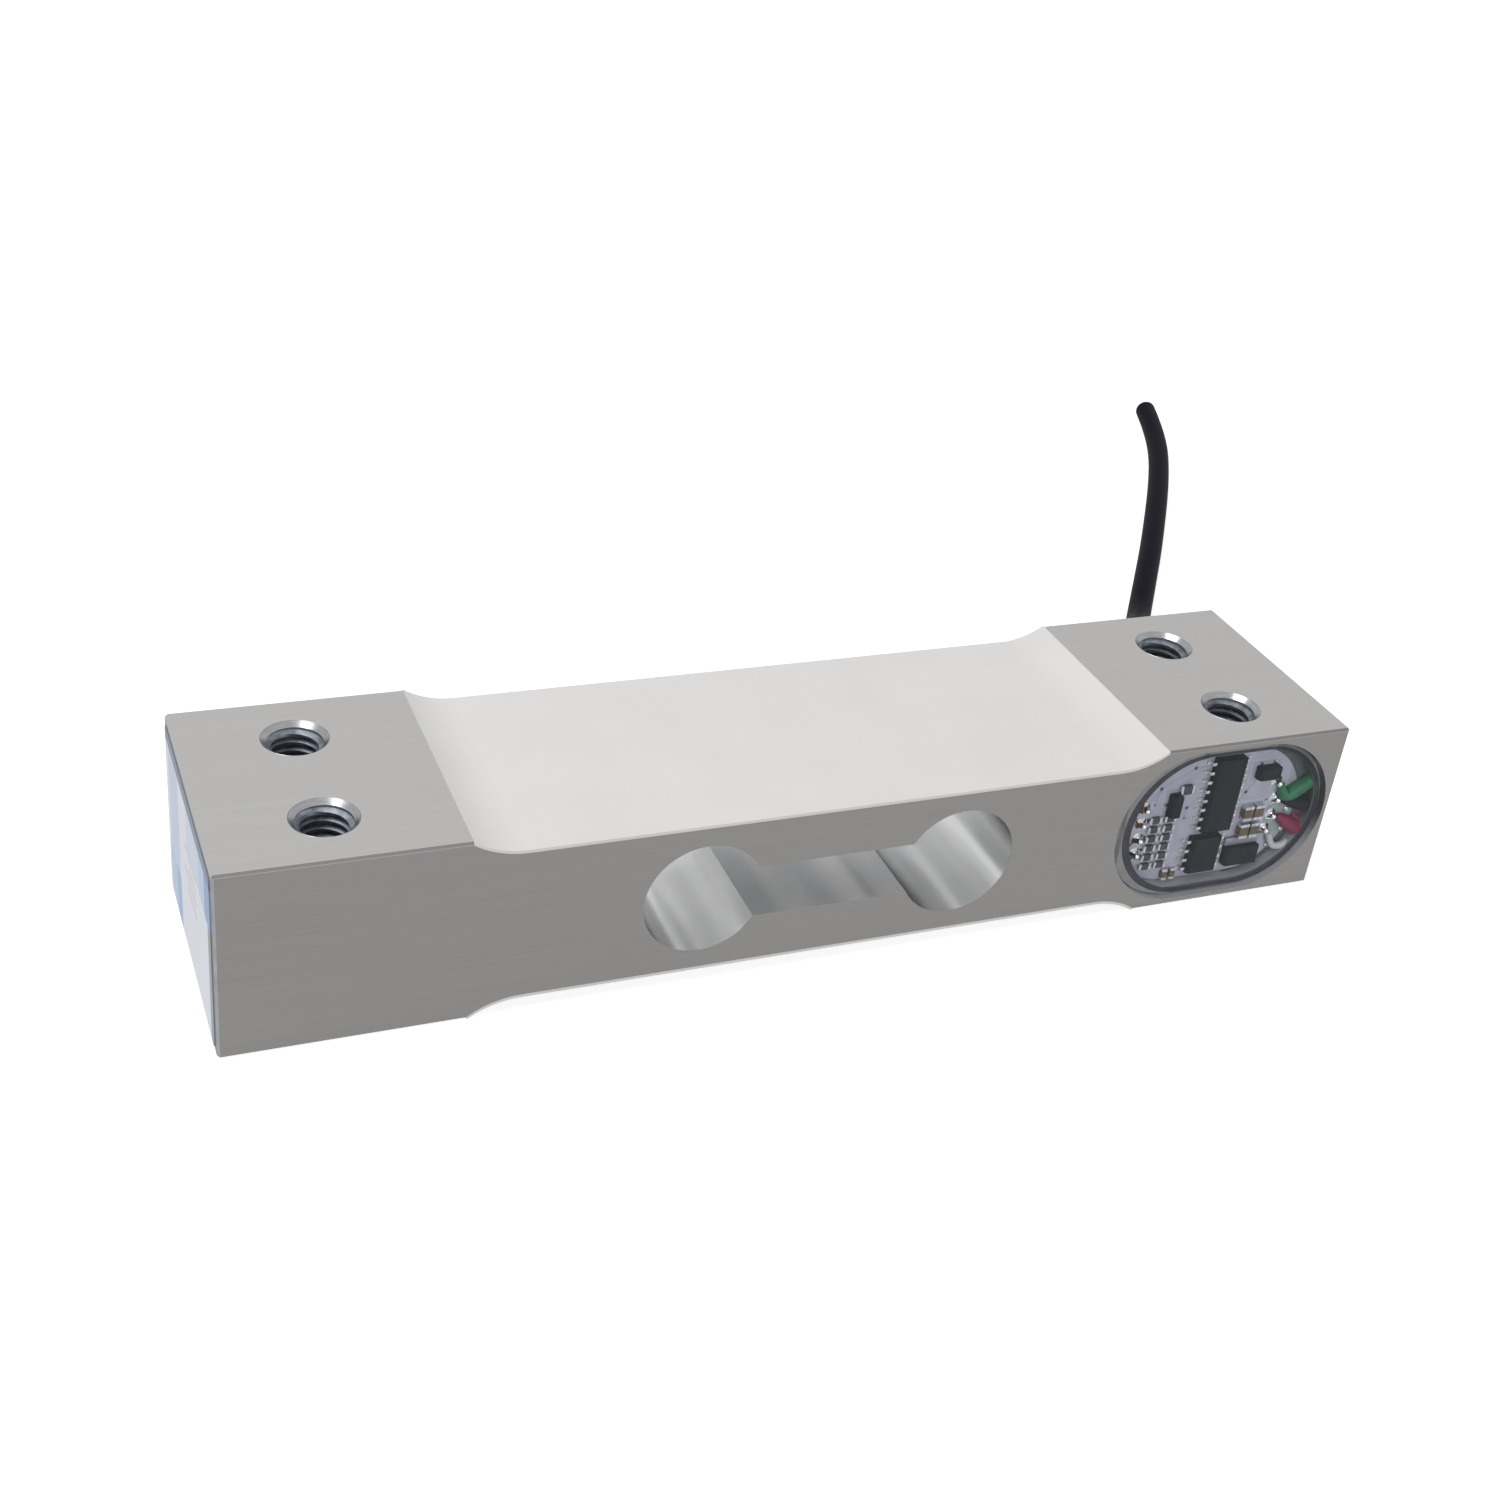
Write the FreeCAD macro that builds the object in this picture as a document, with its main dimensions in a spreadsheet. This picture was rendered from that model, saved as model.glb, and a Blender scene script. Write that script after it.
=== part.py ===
import FreeCAD, Part
import math
import os
import re

import Sketcher
from FreeCAD import Rotation, Vector

# Single point load cell: one machined aluminium bar that bends over a dogbone opening,
# foil gauges under a seal coat above and below it, and a signal board behind a clear
# window in the fixed end, where the cable leaves.
# Millimetres. The origin is the middle of the bar's underside. X runs along the bar
# towards the board, the window faces -Y, and Z is up.

SIZES = [
    # the bar
    ("bar_length", 130, "overall length of the bar"),
    ("bar_width", 30, "width of the bar"),
    ("bar_height", 22, "height over the end pads"),
    ("edge_break", 0.3, "chamfer on the outer edges"),
    ("pad_length", 25, "length of each end pad"),
    ("recess_depth", 1.75, "from a pad down to the seal coat"),
    ("coat_thickness", 0.35, "seal coat over the gauges"),
    ("runout_radius", 10, "concave run-out between recess and pad"),
    ("bore_diameter", 13.4, "the two bores of the dogbone"),
    ("bore_spacing", 30, "between the bores' centres"),
    ("slot_height", 6.4, "slot that joins the bores"),
    # the mounting holes, M6
    ("hole_diameter", 6, "major diameter of the thread"),
    ("hole_chamfer", 0.55, "chamfer at both mouths"),
    ("hole_spacing", 15, "between the two holes of a pad"),
    ("hole_end_distance", 12, "from the bar's end to the holes"),
    # the window and the pocket behind it
    ("window_end_distance", 15.2, "from the bar's end to the window's centre"),
    ("seat_length", 28.8, "length of the window's seat"),
    ("seat_height", 20.4, "height of the window's seat"),
    ("window_clearance", 0.1, "gap round the window"),
    ("window_thickness", 0.9, "clear window"),
    ("ring_thickness", 0.1, "seal under the window"),
    ("ring_width", 0.4, "width of that seal"),
    ("ledge_width", 1, "ledge that carries the window"),
    ("part_space", 1.3, "from the board to the ledge"),
    # the board
    ("board_thickness", 0.8, "circuit board"),
    ("bed_thickness", 0.2, "adhesive under the board"),
    ("board_clearance", 0.3, "gap round the board"),
    ("board_bore_gap", 0.15, "from the board's cut end to the cable bore"),
    # gull-wing chips
    ("chip_width", 3.9, "body width"),
    ("chip_height", 1.1, "body height"),
    ("chip_bevel", 0.3, "bevel along the first pin's side"),
    ("lead_pitch", 1.27, "between leads"),
    ("lead_width", 0.4, "one lead"),
    ("lead_thickness", 0.2, "sheet that the leads are cut from"),
    ("lead_foot", 0.6, "part of a lead that lies on the board"),
    ("lead_shoulder", 0.5, "height at which a lead leaves the body"),
    ("lead_span", 6, "over both rows of feet"),
    ("converter_length", 10, "body of the converter"),
    ("converter_x", 0.5, "its place from the window's centre"),
    ("converter_z", 2.8, "its place from the window's centre"),
    ("controller_length", 4.9, "body of the controller"),
    ("controller_x", -0.3, "its place from the window's centre"),
    ("controller_z", -5.45, "its place from the window's centre"),
    # small packages
    ("regulator_width", 4.5, "body width"),
    ("regulator_length", 2.5, "body length"),
    ("regulator_x", 5.3, "its place from the window's centre"),
    ("regulator_z", -6.4, "its place from the window's centre"),
    ("regulator_pitch", 1.5, "between its leads"),
    ("tab_width", 3, "cooling tab"),
    ("tab_length", 0.8, "cooling tab"),
    ("reference_width", 2.9, "body width"),
    ("reference_length", 1.6, "body length"),
    ("reference_x", 6.4, "its place from the window's centre"),
    ("reference_z", 5, "its place from the window's centre"),
    ("reference_pitch", 0.95, "between its leads"),
    ("transistor_width", 1.3, "body width"),
    ("transistor_length", 2.9, "body length"),
    ("transistor_x", -1.7, "its place from the centre of the pocket's left end"),
    ("transistor_z", 2.05, "its place from the window's centre"),
    ("transistor_pitch", 1.9, "between its two leads on one side"),
    ("short_lead", 0.5, "length of the small packages' leads"),
    # chip resistors and capacitors
    ("resistor_length", 1.6, "over the end caps"),
    ("resistor_width", 0.8, "across"),
    ("resistor_height", 0.45, "above the board"),
    ("resistor_cap", 0.3, "length of one end cap"),
    ("resistor_x", -3.7, "first column from the centre of the pocket's left end"),
    ("resistor_z", -6.4, "lowest row from the window's centre"),
    ("resistor_row_pitch", 1.3, "between rows"),
    ("resistor_column_pitch", 2, "between the two columns"),
    ("capacitor_length", 2, "over the end caps"),
    ("capacitor_width", 1.25, "across"),
    ("capacitor_height", 0.9, "above the board"),
    ("capacitor_cap", 0.4, "length of one end cap"),
    ("capacitor_x", -0.9, "first column from midway between the window's centre and the bore"),
    ("capacitor_z", -3, "lowest row from the window's centre"),
    ("capacitor_row_pitch", 2.5, "between rows"),
    ("capacitor_column_pitch", 1.5, "between the two columns"),
    # solder joints
    ("joint_base", 1.3, "diameter on the board"),
    ("joint_top", 1, "diameter at the top"),
    ("joint_height", 0.95, "above the board"),
    ("gauge_joint_x", -5.4, "gauge joints from the centre of the pocket's left end"),
    ("gauge_joint_z", 1.8, "uppermost gauge joint from the window's centre"),
    ("gauge_joint_pitch", 2.1, "between the gauge joints"),
    # the gauges and their wires
    ("gauge_length", 6, "along the bar"),
    ("gauge_width", 4.5, "across the bar"),
    ("gauge_thickness", 0.1, "foil and backing"),
    ("strip_length", 2, "terminal strip, along the bar"),
    ("strip_width", 9, "terminal strip, across the bar"),
    ("strip_thickness", 0.15, "terminal strip"),
    ("strip_gap", 2, "from the gauge to the strip"),
    ("gauge_wire_diameter", 0.2, "enamelled wire"),
    ("gauge_wire_pitch", 0.4, "between two such wires"),
    ("gauge_wire_clearance", 0.04, "from the recess floor to a wire"),
    ("gauge_tab_offset", 1.75, "from a gauge's middle line to its outer tab"),
    ("lane_gap", 1, "from a gauge's edge to the wire that passes it"),
    ("lane_swing", 4, "length over which that wire swings into its lane"),
    ("wire_sidestep", 2, "sideways step of a wire beyond the strip"),
    ("wire_reach", 1.5, "how far a wire comes out of the passage before it bends"),
    ("joint_approach", 1.6, "from a wire's last bend to its joint"),
    ("passage_diameter", 1.2, "drilled passage from recess to pocket"),
    ("passage_angle", 33, "its slope, in degrees"),
    # the cable's way out
    ("cable_bore_inset", 1.8, "from the pocket's right end to the cable bore's axis"),
    ("cable_bore_diameter", 2.6, "bore that the wires run through"),
    ("grommet_hole_diameter", 4.6, "counterbore in the back face"),
    ("grommet_hole_depth", 3, "counterbore in the back face"),
    ("flange_diameter", 6, "grommet's flange"),
    ("flange_thickness", 1, "grommet's flange"),
    ("nose_length", 3, "grommet's tapered nose"),
    ("nose_base_diameter", 5.1, "nose at the flange"),
    ("nose_tip_diameter", 4.3, "nose at its tip"),
    ("cable_diameter", 3.5, "outer jacket"),
    ("wire_diameter", 0.9, "insulated wire"),
    ("wire_pitch", 1, "between the four wires in the bore"),
    # the label on the end face
    ("label_width", 28.4, "across the bar"),
    ("label_height", 20.6, "up the end face"),
    ("label_thickness", 0.12, "film"),
    ("label_corner", 0.8, "corner radius"),
]
ALIASES = {alias for alias, _, _ in SIZES}

# Places that several pieces share, as expressions of the sheet's sizes.
MIDDLE_Z = "bar_height / 2"
LEDGE_Y = "window_thickness + ring_thickness - bar_width / 2"
BOARD_Y = f"{LEDGE_Y} + part_space"
BED_Y = f"{BOARD_Y} + board_thickness"
FLOOR_DEPTH = "window_thickness + ring_thickness + part_space + board_thickness + bed_thickness"
WINDOW_X = "bar_length / 2 - window_end_distance"
POCKET_LENGTH = "seat_length - 2 * ledge_width"
POCKET_HEIGHT = "seat_height - 2 * ledge_width"
LEFT_END = "(seat_height - seat_length) / 2"
POCKET_END_X = f"{WINDOW_X} + {LEFT_END}"
CABLE_X = f"{WINDOW_X} + ({POCKET_LENGTH}) / 2 - cable_bore_inset"
GAUGE_FLOOR = "bar_height / 2 - recess_depth - coat_thickness"
WIRE_Y = f"{LEDGE_Y} + part_space / 2"

os.makedirs("parts", exist_ok=True)
doc = FreeCAD.newDocument("LoadCell")
sheet = doc.addObject("Spreadsheet::Sheet", "Sizes")
for row, (alias, size, note) in enumerate(SIZES, start=1):
    sheet.set(f"A{row}", note)
    sheet.set(f"B{row}", str(size))
    sheet.setAlias(f"B{row}", alias)
doc.recompute()

pieces = []


def bound(expression):
    """The expression with the sheet's name before each alias."""
    return re.sub(r"[a-z_]+", lambda m: f"Sizes.{m[0]}" if m[0] in ALIASES else m[0], expression)


def number(expression):
    """What an expression of the sheet's sizes comes to."""
    return float(sheet.evalExpression(bound(expression)))


def place(thing, x="0", y="0", z="0"):
    """Binds the place of an object to three expressions."""
    for axis, expression in zip("xyz", (x, y, z)):
        thing.setExpression(f"Placement.Base.{axis}", bound(expression))


def keep(thing, label):
    """Names a finished piece; its label is also its file's name."""
    thing.Label = label
    pieces.append(thing)
    return thing


def new_body(name, x="0", y="0", z="0"):
    """A PartDesign body at a place given by expressions."""
    body = doc.addObject("PartDesign::Body", name)
    place(body, x, y, z)
    return body


def origin_feature(body, role):
    """One of the body's own planes or axes."""
    return next(f for f in body.Origin.OriginFeatures if f.Role == role)


def new_sketch(body, name, plane="XZ_Plane", x="0", y="0", lift="0"):
    """A sketch on one of the body's planes, shifted in it and lifted along its normal."""
    sketch = body.newObject("Sketcher::SketchObject", name)
    sketch.AttachmentSupport = [(origin_feature(body, plane), "")]
    sketch.MapMode = "FlatFace"
    for axis, expression in zip("xyz", (x, y, lift)):
        sketch.setExpression(f"AttachmentOffset.Base.{axis}", bound(expression))
    return sketch


def dimension(sketch, name, kind, where, expression):
    """A named dimension of a sketch that follows an expression."""
    index = sketch.addConstraint(Sketcher.Constraint(kind, *where, number(expression)))
    sketch.renameConstraint(index, name)
    sketch.setExpression(f"Constraints.{name}", bound(expression))


def relate(sketch, kind, *where):
    """A geometric constraint of a sketch."""
    sketch.addConstraint(Sketcher.Constraint(kind, *where))


def locate(sketch, name, kind, axis, line, expression):
    """Holds the start of a line at a signed distance from the sketch's origin."""
    size = number(expression)
    if abs(size) < 1e-9:
        relate(sketch, "PointOnObject", line, 1, axis)
    elif size > 0:
        dimension(sketch, name, kind, (-1, 1, line, 1), expression)
    else:
        dimension(sketch, name, kind, (line, 1, -1, 1), f"-({expression})")


def polygon(sketch, corners):
    """A closed outline whose corners are pairs of expressions from the sketch's origin."""
    points = [Vector(number(x), number(y), 0) for x, y in corners]
    lines = [
        sketch.addGeometry(Part.LineSegment(start, end), False)
        for start, end in zip(points, points[1:] + points[:1])
    ]
    for line, after in zip(lines, lines[1:] + lines[:1]):
        relate(sketch, "Coincident", line, 2, after, 1)
    for i, (x, y) in enumerate(corners):
        if i and x == corners[i - 1][0]:
            relate(sketch, "Vertical", lines[i - 1])
        else:
            locate(sketch, f"across{i}", "DistanceX", -2, lines[i], x)
        if i and y == corners[i - 1][1]:
            relate(sketch, "Horizontal", lines[i - 1])
        else:
            locate(sketch, f"up{i}", "DistanceY", -1, lines[i], y)


def rectangle(sketch, width, height):
    """A rectangle centred on the sketch's origin."""
    left, right = f"-({width}) / 2", f"({width}) / 2"
    bottom, top = f"-({height}) / 2", f"({height}) / 2"
    polygon(sketch, [(left, bottom), (right, bottom), (right, top), (left, top)])


def circle(sketch, diameter):
    """A circle centred on the sketch's origin."""
    ring = sketch.addGeometry(Part.Circle(Vector(), Vector(0, 0, 1), number(diameter) / 2), False)
    relate(sketch, "Coincident", ring, 3, -1, 1)
    dimension(sketch, "diameter", "Diameter", (ring,), diameter)


def arc(sketch, x, y, radius, start, end):
    """An arc of a sketch, from one angle to another, in degrees and anticlockwise."""
    whole = Part.Circle(Vector(x, y, 0), Vector(0, 0, 1), radius)
    return sketch.addGeometry(Part.ArcOfCircle(whole, math.radians(start), math.radians(end)), False)


def line(sketch, start, end):
    """A line of a sketch between two pairs of numbers."""
    return sketch.addGeometry(Part.LineSegment(Vector(*start, 0), Vector(*end, 0)), False)


def obround(sketch, length, height, tag=""):
    """A slot shape with round ends, centred on the sketch's origin."""
    radius = number(height) / 2
    half = number(length) / 2 - radius
    bottom = line(sketch, (-half, -radius), (half, -radius))
    right = arc(sketch, half, 0, radius, -90, 90)
    top = line(sketch, (half, radius), (-half, radius))
    left = arc(sketch, -half, 0, radius, 90, 270)
    for first, second in ((bottom, right), (right, top), (top, left), (left, bottom)):
        relate(sketch, "Tangent", first, 2, second, 1)
    relate(sketch, "Horizontal", bottom)
    relate(sketch, "Equal", right, left)
    relate(sketch, "Symmetric", left, 3, right, 3, -1, 1)
    dimension(sketch, f"end_radius{tag}", "Radius", (right,), f"({height}) / 2")
    dimension(sketch, f"straight{tag}", "DistanceX", (bottom, 1, bottom, 2), f"{length} - ({height})")


def dogbone(sketch):
    """Two bores joined by a slot, as one outline centred on the sketch's origin."""
    radius = number("bore_diameter / 2")
    half = number("bore_spacing / 2")
    rise = number("slot_height / 2")
    mouth = math.degrees(math.asin(rise / radius))
    neck = half - radius * math.cos(math.radians(mouth))
    left = arc(sketch, -half, 0, radius, mouth, 360 - mouth)
    bottom = line(sketch, (-neck, -rise), (neck, -rise))
    right = arc(sketch, half, 0, radius, 180 + mouth, 540 - mouth)
    top = line(sketch, (neck, rise), (-neck, rise))
    for first, second in ((left, bottom), (bottom, right), (right, top), (top, left)):
        relate(sketch, "Coincident", first, 2, second, 1)
    relate(sketch, "Horizontal", bottom)
    relate(sketch, "Horizontal", top)
    relate(sketch, "Equal", bottom, top)
    relate(sketch, "Equal", left, right)
    relate(sketch, "Symmetric", left, 3, right, 3, -1, 1)
    relate(sketch, "PointOnObject", right, 3, -1)
    dimension(sketch, "bore_diameter", "Diameter", (left,), "bore_diameter")
    dimension(sketch, "bore_spacing", "DistanceX", (left, 3, right, 3), "bore_spacing")
    dimension(sketch, "slot_height", "DistanceY", (bottom, 1, top, 2), "slot_height")


def recess(sketch):
    """The milled recess under a pad's level: a step, a run-out, the floor and the same back."""
    half = number("bar_length / 2 - pad_length")
    step = number("coat_thickness")
    radius = number("runout_radius")
    floor = number("recess_depth + coat_thickness")
    swing = math.degrees(math.acos(1 - number("recess_depth") / radius))
    reach = radius * math.sin(math.radians(swing))
    top = line(sketch, (-half, 0), (half, 0))
    right_step = line(sketch, (half, 0), (half, -step))
    right = arc(sketch, half - reach, radius - floor, radius, 270, 270 + swing)
    base = line(sketch, (half - reach, -floor), (reach - half, -floor))
    left = arc(sketch, reach - half, radius - floor, radius, 270 - swing, 270)
    left_step = line(sketch, (-half, -step), (-half, 0))
    relate(sketch, "Coincident", top, 2, right_step, 1)
    relate(sketch, "Coincident", right_step, 2, right, 2)
    relate(sketch, "Tangent", right, 1, base, 1)
    relate(sketch, "Tangent", base, 2, left, 2)
    relate(sketch, "Coincident", left, 1, left_step, 1)
    relate(sketch, "Coincident", left_step, 2, top, 1)
    relate(sketch, "Horizontal", base)
    relate(sketch, "Vertical", right_step)
    relate(sketch, "Vertical", left_step)
    relate(sketch, "Equal", right, left)
    relate(sketch, "Equal", right_step, left_step)
    relate(sketch, "Symmetric", top, 1, top, 2, -1, 1)
    dimension(sketch, "recess_length", "DistanceX", (top, 1, top, 2), "bar_length - 2 * pad_length")
    dimension(sketch, "step", "DistanceY", (right_step, 2, right_step, 1), "coat_thickness")
    dimension(sketch, "runout", "Radius", (right,), "runout_radius")
    dimension(sketch, "floor_depth", "DistanceY", (base, 1, top, 2), "recess_depth + coat_thickness")


def pad(body, sketch, length, name="Pad"):
    """Extrudes a sketch along its normal."""
    feature = body.newObject("PartDesign::Pad", name)
    feature.Profile = sketch
    feature.setExpression("Length", bound(length))
    return feature


def pocket(body, sketch, name, depth=None, backwards=False):
    """Cuts a sketch into the body, to a depth or right through."""
    feature = body.newObject("PartDesign::Pocket", name)
    feature.Profile = sketch
    feature.Reversed = backwards
    if depth:
        feature.setExpression("Length", bound(depth))
    else:
        feature.Type = "ThroughAll"
    return feature


def pattern(body, name, axis, count, spacing):
    """A row of copies along one of the body's axes, for use in a multiple pattern."""
    feature = body.newObject("PartDesign::LinearPattern", name)
    feature.Direction = (origin_feature(body, f"{axis}_Axis"), [""])
    feature.setExpression("Length", bound(f"{count - 1} * ({spacing})"))
    feature.Occurrences = count
    return feature


def mirror(body, name, plane):
    """A mirrored copy across one of the body's planes."""
    feature = body.newObject("PartDesign::Mirrored", name)
    feature.MirrorPlane = (origin_feature(body, f"{plane}_Plane"), [""])
    return feature


def repeat(body, original, name, steps):
    """Copies a feature by patterns and mirrors, one after the other."""
    feature = body.newObject("PartDesign::MultiTransform", name)
    feature.Originals = [original]
    feature.Transformations = [make(body, *arguments) for make, *arguments in steps]
    body.Tip = feature


def edges_where(feature, test):
    """The names of a feature's edges that pass a test."""
    doc.recompute()
    return [f"Edge{i}" for i, edge in enumerate(feature.Shape.Edges, start=1) if test(edge)]


# Sensor body


def machine_sensor_body():
    """The bar, its recesses, dogbone, window seat, board pocket, holes and drilled ways."""
    body = keep(new_body("SensorBody", z=MIDDLE_Z), "sensor_body")

    block = new_sketch(body, "BarOutline", lift="-bar_width / 2")
    rectangle(block, "bar_length", "bar_height")
    bar = pad(body, block, "bar_width", "Bar")
    edges = edges_where(bar, lambda edge: True)
    broken = body.newObject("PartDesign::Chamfer", "EdgeBreak")
    broken.Base = (bar, edges)
    broken.setExpression("Size", bound("edge_break"))

    outline = new_sketch(body, "RecessOutline", y="bar_height / 2", lift="bar_width / 2")
    recess(outline)
    milled = pocket(body, outline, "TopRecess")
    both = mirror(body, "Recesses", "XY")
    both.Originals = [milled]
    body.Tip = both

    opening = new_sketch(body, "DogboneOutline", lift="bar_width / 2")
    dogbone(opening)
    pocket(body, opening, "Dogbone")

    seat = new_sketch(body, "WindowSeatOutline", x=WINDOW_X, lift="bar_width / 2")
    obround(seat, "seat_length", "seat_height")
    pocket(body, seat, "WindowSeat", "window_thickness + ring_thickness")
    cavity = new_sketch(body, "BoardPocketOutline", x=WINDOW_X, lift="bar_width / 2")
    obround(cavity, POCKET_LENGTH, POCKET_HEIGHT)
    pocket(body, cavity, "BoardPocket", FLOOR_DEPTH)

    drill_mounting_holes(body)
    drill_cable_way(body)
    drill_gauge_passages(body)


def drill_mounting_holes(body):
    """Four through holes at the thread's major diameter, chamfered at both mouths."""
    profile = new_sketch(
        body, "HoleProfile", x="hole_end_distance - bar_length / 2", lift="hole_spacing / 2"
    )
    low, high = "-bar_height / 2", "bar_height / 2"
    wall, mouth = "hole_diameter / 2", "hole_diameter / 2 + hole_chamfer"
    corners = [
        ("0", low),
        (mouth, low),
        (wall, f"hole_chamfer {low}"),
        (wall, f"{high} - hole_chamfer"),
        (mouth, high),
        ("0", high),
    ]
    polygon(profile, corners)
    hole = body.newObject("PartDesign::Groove", "MountingHole")
    hole.Profile = profile
    hole.ReferenceAxis = (profile, ["V_Axis"])
    hole.Angle = 360
    steps = [
        (pattern, "AlongBar", "X", 2, "bar_length - 2 * hole_end_distance"),
        (pattern, "AcrossBar", "Y", 2, "hole_spacing"),
    ]
    repeat(body, hole, "MountingHoles", steps)


def drill_cable_way(body):
    """The bore from the pocket's floor to the back face, and the counterbore for the grommet."""
    bore = new_sketch(body, "CableBoreOutline", x=CABLE_X, lift=f"bar_width / 2 - ({FLOOR_DEPTH})")
    circle(bore, "cable_bore_diameter")
    pocket(body, bore, "CableBore")
    seat = new_sketch(body, "GrommetSeatOutline", x=CABLE_X, lift="-bar_width / 2")
    circle(seat, "grommet_hole_diameter")
    pocket(body, seat, "GrommetSeat", "grommet_hole_depth", backwards=True)


def drill_gauge_passages(body):
    """Sloping holes that lead the gauge wires from each recess into the pocket's round end."""
    profile = new_sketch(body, "PassageProfile", x=POCKET_END_X, lift=f"-({WIRE_Y})")
    upright = Rotation(Vector(0, 0, 1), 90)
    profile.AttachmentOffset = FreeCAD.Placement(profile.AttachmentOffset.Base, upright)
    profile.setExpression("AttachmentOffset.Rotation.Angle", bound("180 - passage_angle"))
    start = f"({POCKET_HEIGHT}) / 2 - passage_diameter"
    end = f"({GAUGE_FLOOR} + passage_diameter) / sin(passage_angle)"
    wall = "passage_diameter / 2"
    polygon(profile, [(start, "0"), (end, "0"), (end, wall), (start, wall)])
    passage = body.newObject("PartDesign::Groove", "TopPassage")
    passage.Profile = profile
    passage.ReferenceAxis = (profile, ["H_Axis"])
    passage.Angle = 360
    both = mirror(body, "Passages", "XY")
    both.Originals = [passage]
    body.Tip = both


# Gauges, their wires and the seal coats


def bond_gauges():
    """Two foil gauges and one terminal strip on each recess floor, as flat plates."""
    plates = {}
    sides = {"top": ("+", "0"), "bottom": ("-", "1")}
    for side, (sign, shift) in sides.items():
        gauges = {f"{side}_load_gauge": "-bore_spacing / 2", f"{side}_fixed_gauge": "bore_spacing / 2"}
        for label, x in gauges.items():
            plate = doc.addObject("Part::Box", label.title().replace("_", ""))
            plates[label] = keep(plate, label)
            lay_plate(plate, x, "gauge_length", "gauge_width", "gauge_thickness", sign, shift)
        strip = doc.addObject("Part::Box", f"{side.title()}Strip")
        plates[f"{side}_strip"] = keep(strip, f"{side}_terminal_strip")
        x = "bore_spacing / 2 + gauge_length / 2 + strip_gap + strip_length / 2"
        lay_plate(strip, x, "strip_length", "strip_width", "strip_thickness", sign, shift)
    return plates


def lay_plate(plate, x, length, width, thickness, sign, shift):
    """Sizes a flat plate and lays it on the recess floor above or below the middle."""
    for name, expression in (("Length", length), ("Width", width), ("Height", thickness)):
        plate.setExpression(name, bound(expression))
    z = f"{MIDDLE_Z} {sign} ({GAUGE_FLOOR}) - {shift} * {thickness}"
    place(plate, f"{x} - {length} / 2", f"-{width} / 2", z)


def rounded_path(points, share=0.45):
    """Straight runs joined by tangent arcs that each use up to a share of the shorter run."""
    edges = []
    radii = []
    start = points[0]
    for before, corner, after in zip(points, points[1:], points[2:]):
        back, ahead = before - corner, after - corner
        half_turn = (math.pi - back.getAngle(ahead)) / 2
        reach = share * min(back.Length, ahead.Length)
        radius = reach / math.tan(half_turn)
        back.normalize()
        ahead.normalize()
        inwards = (back + ahead).normalize()
        leave, enter = corner + back * reach, corner + ahead * reach
        middle = corner + inwards * (radius / math.cos(half_turn) - radius)
        edges.append(Part.LineSegment(start, leave).toShape())
        edges.append(Part.Arc(leave, middle, enter).toShape())
        radii.append(radius)
        start = enter
    edges.append(Part.LineSegment(start, points[-1]).toShape())
    return edges, radii


def tube(points, diameter):
    """A round solid along a rounded path: a cylinder on each straight run, a ring's part on each arc."""
    edges, radii = rounded_path(points)
    runs = []
    for edge in edges:
        start, end = edge.ParameterRange
        circle = Part.makeCircle(diameter / 2, edge.valueAt(start), edge.tangentAt(start))
        disc = Part.Face(Part.Wire(circle))
        if isinstance(edge.Curve, Part.Circle):
            runs.append(disc.revolve(edge.Curve.Center, edge.Curve.Axis, math.degrees(end - start)))
        else:
            runs.append(disc.extrude(edge.tangentAt(start) * edge.Length))
    solid = runs[0].multiFuse(runs[1:]).Solids[0] if len(runs) > 1 else runs[0]
    return solid, sum(edge.Length for edge in edges), radii


def solid_piece(name, label, shape):
    """A piece whose shape comes from Part's own functions."""
    thing = doc.addObject("Part::Feature", name)
    thing.Shape = shape
    return keep(thing, label)


def gauge_joints():
    """Where the four gauge wires are soldered, uppermost first, as places on the board."""
    x = number(f"{POCKET_END_X} + gauge_joint_x")
    top = number(f"{MIDDLE_Z} + gauge_joint_z")
    return [Vector(x, number(WIRE_Y), top - i * number("gauge_joint_pitch")) for i in range(4)]


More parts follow.
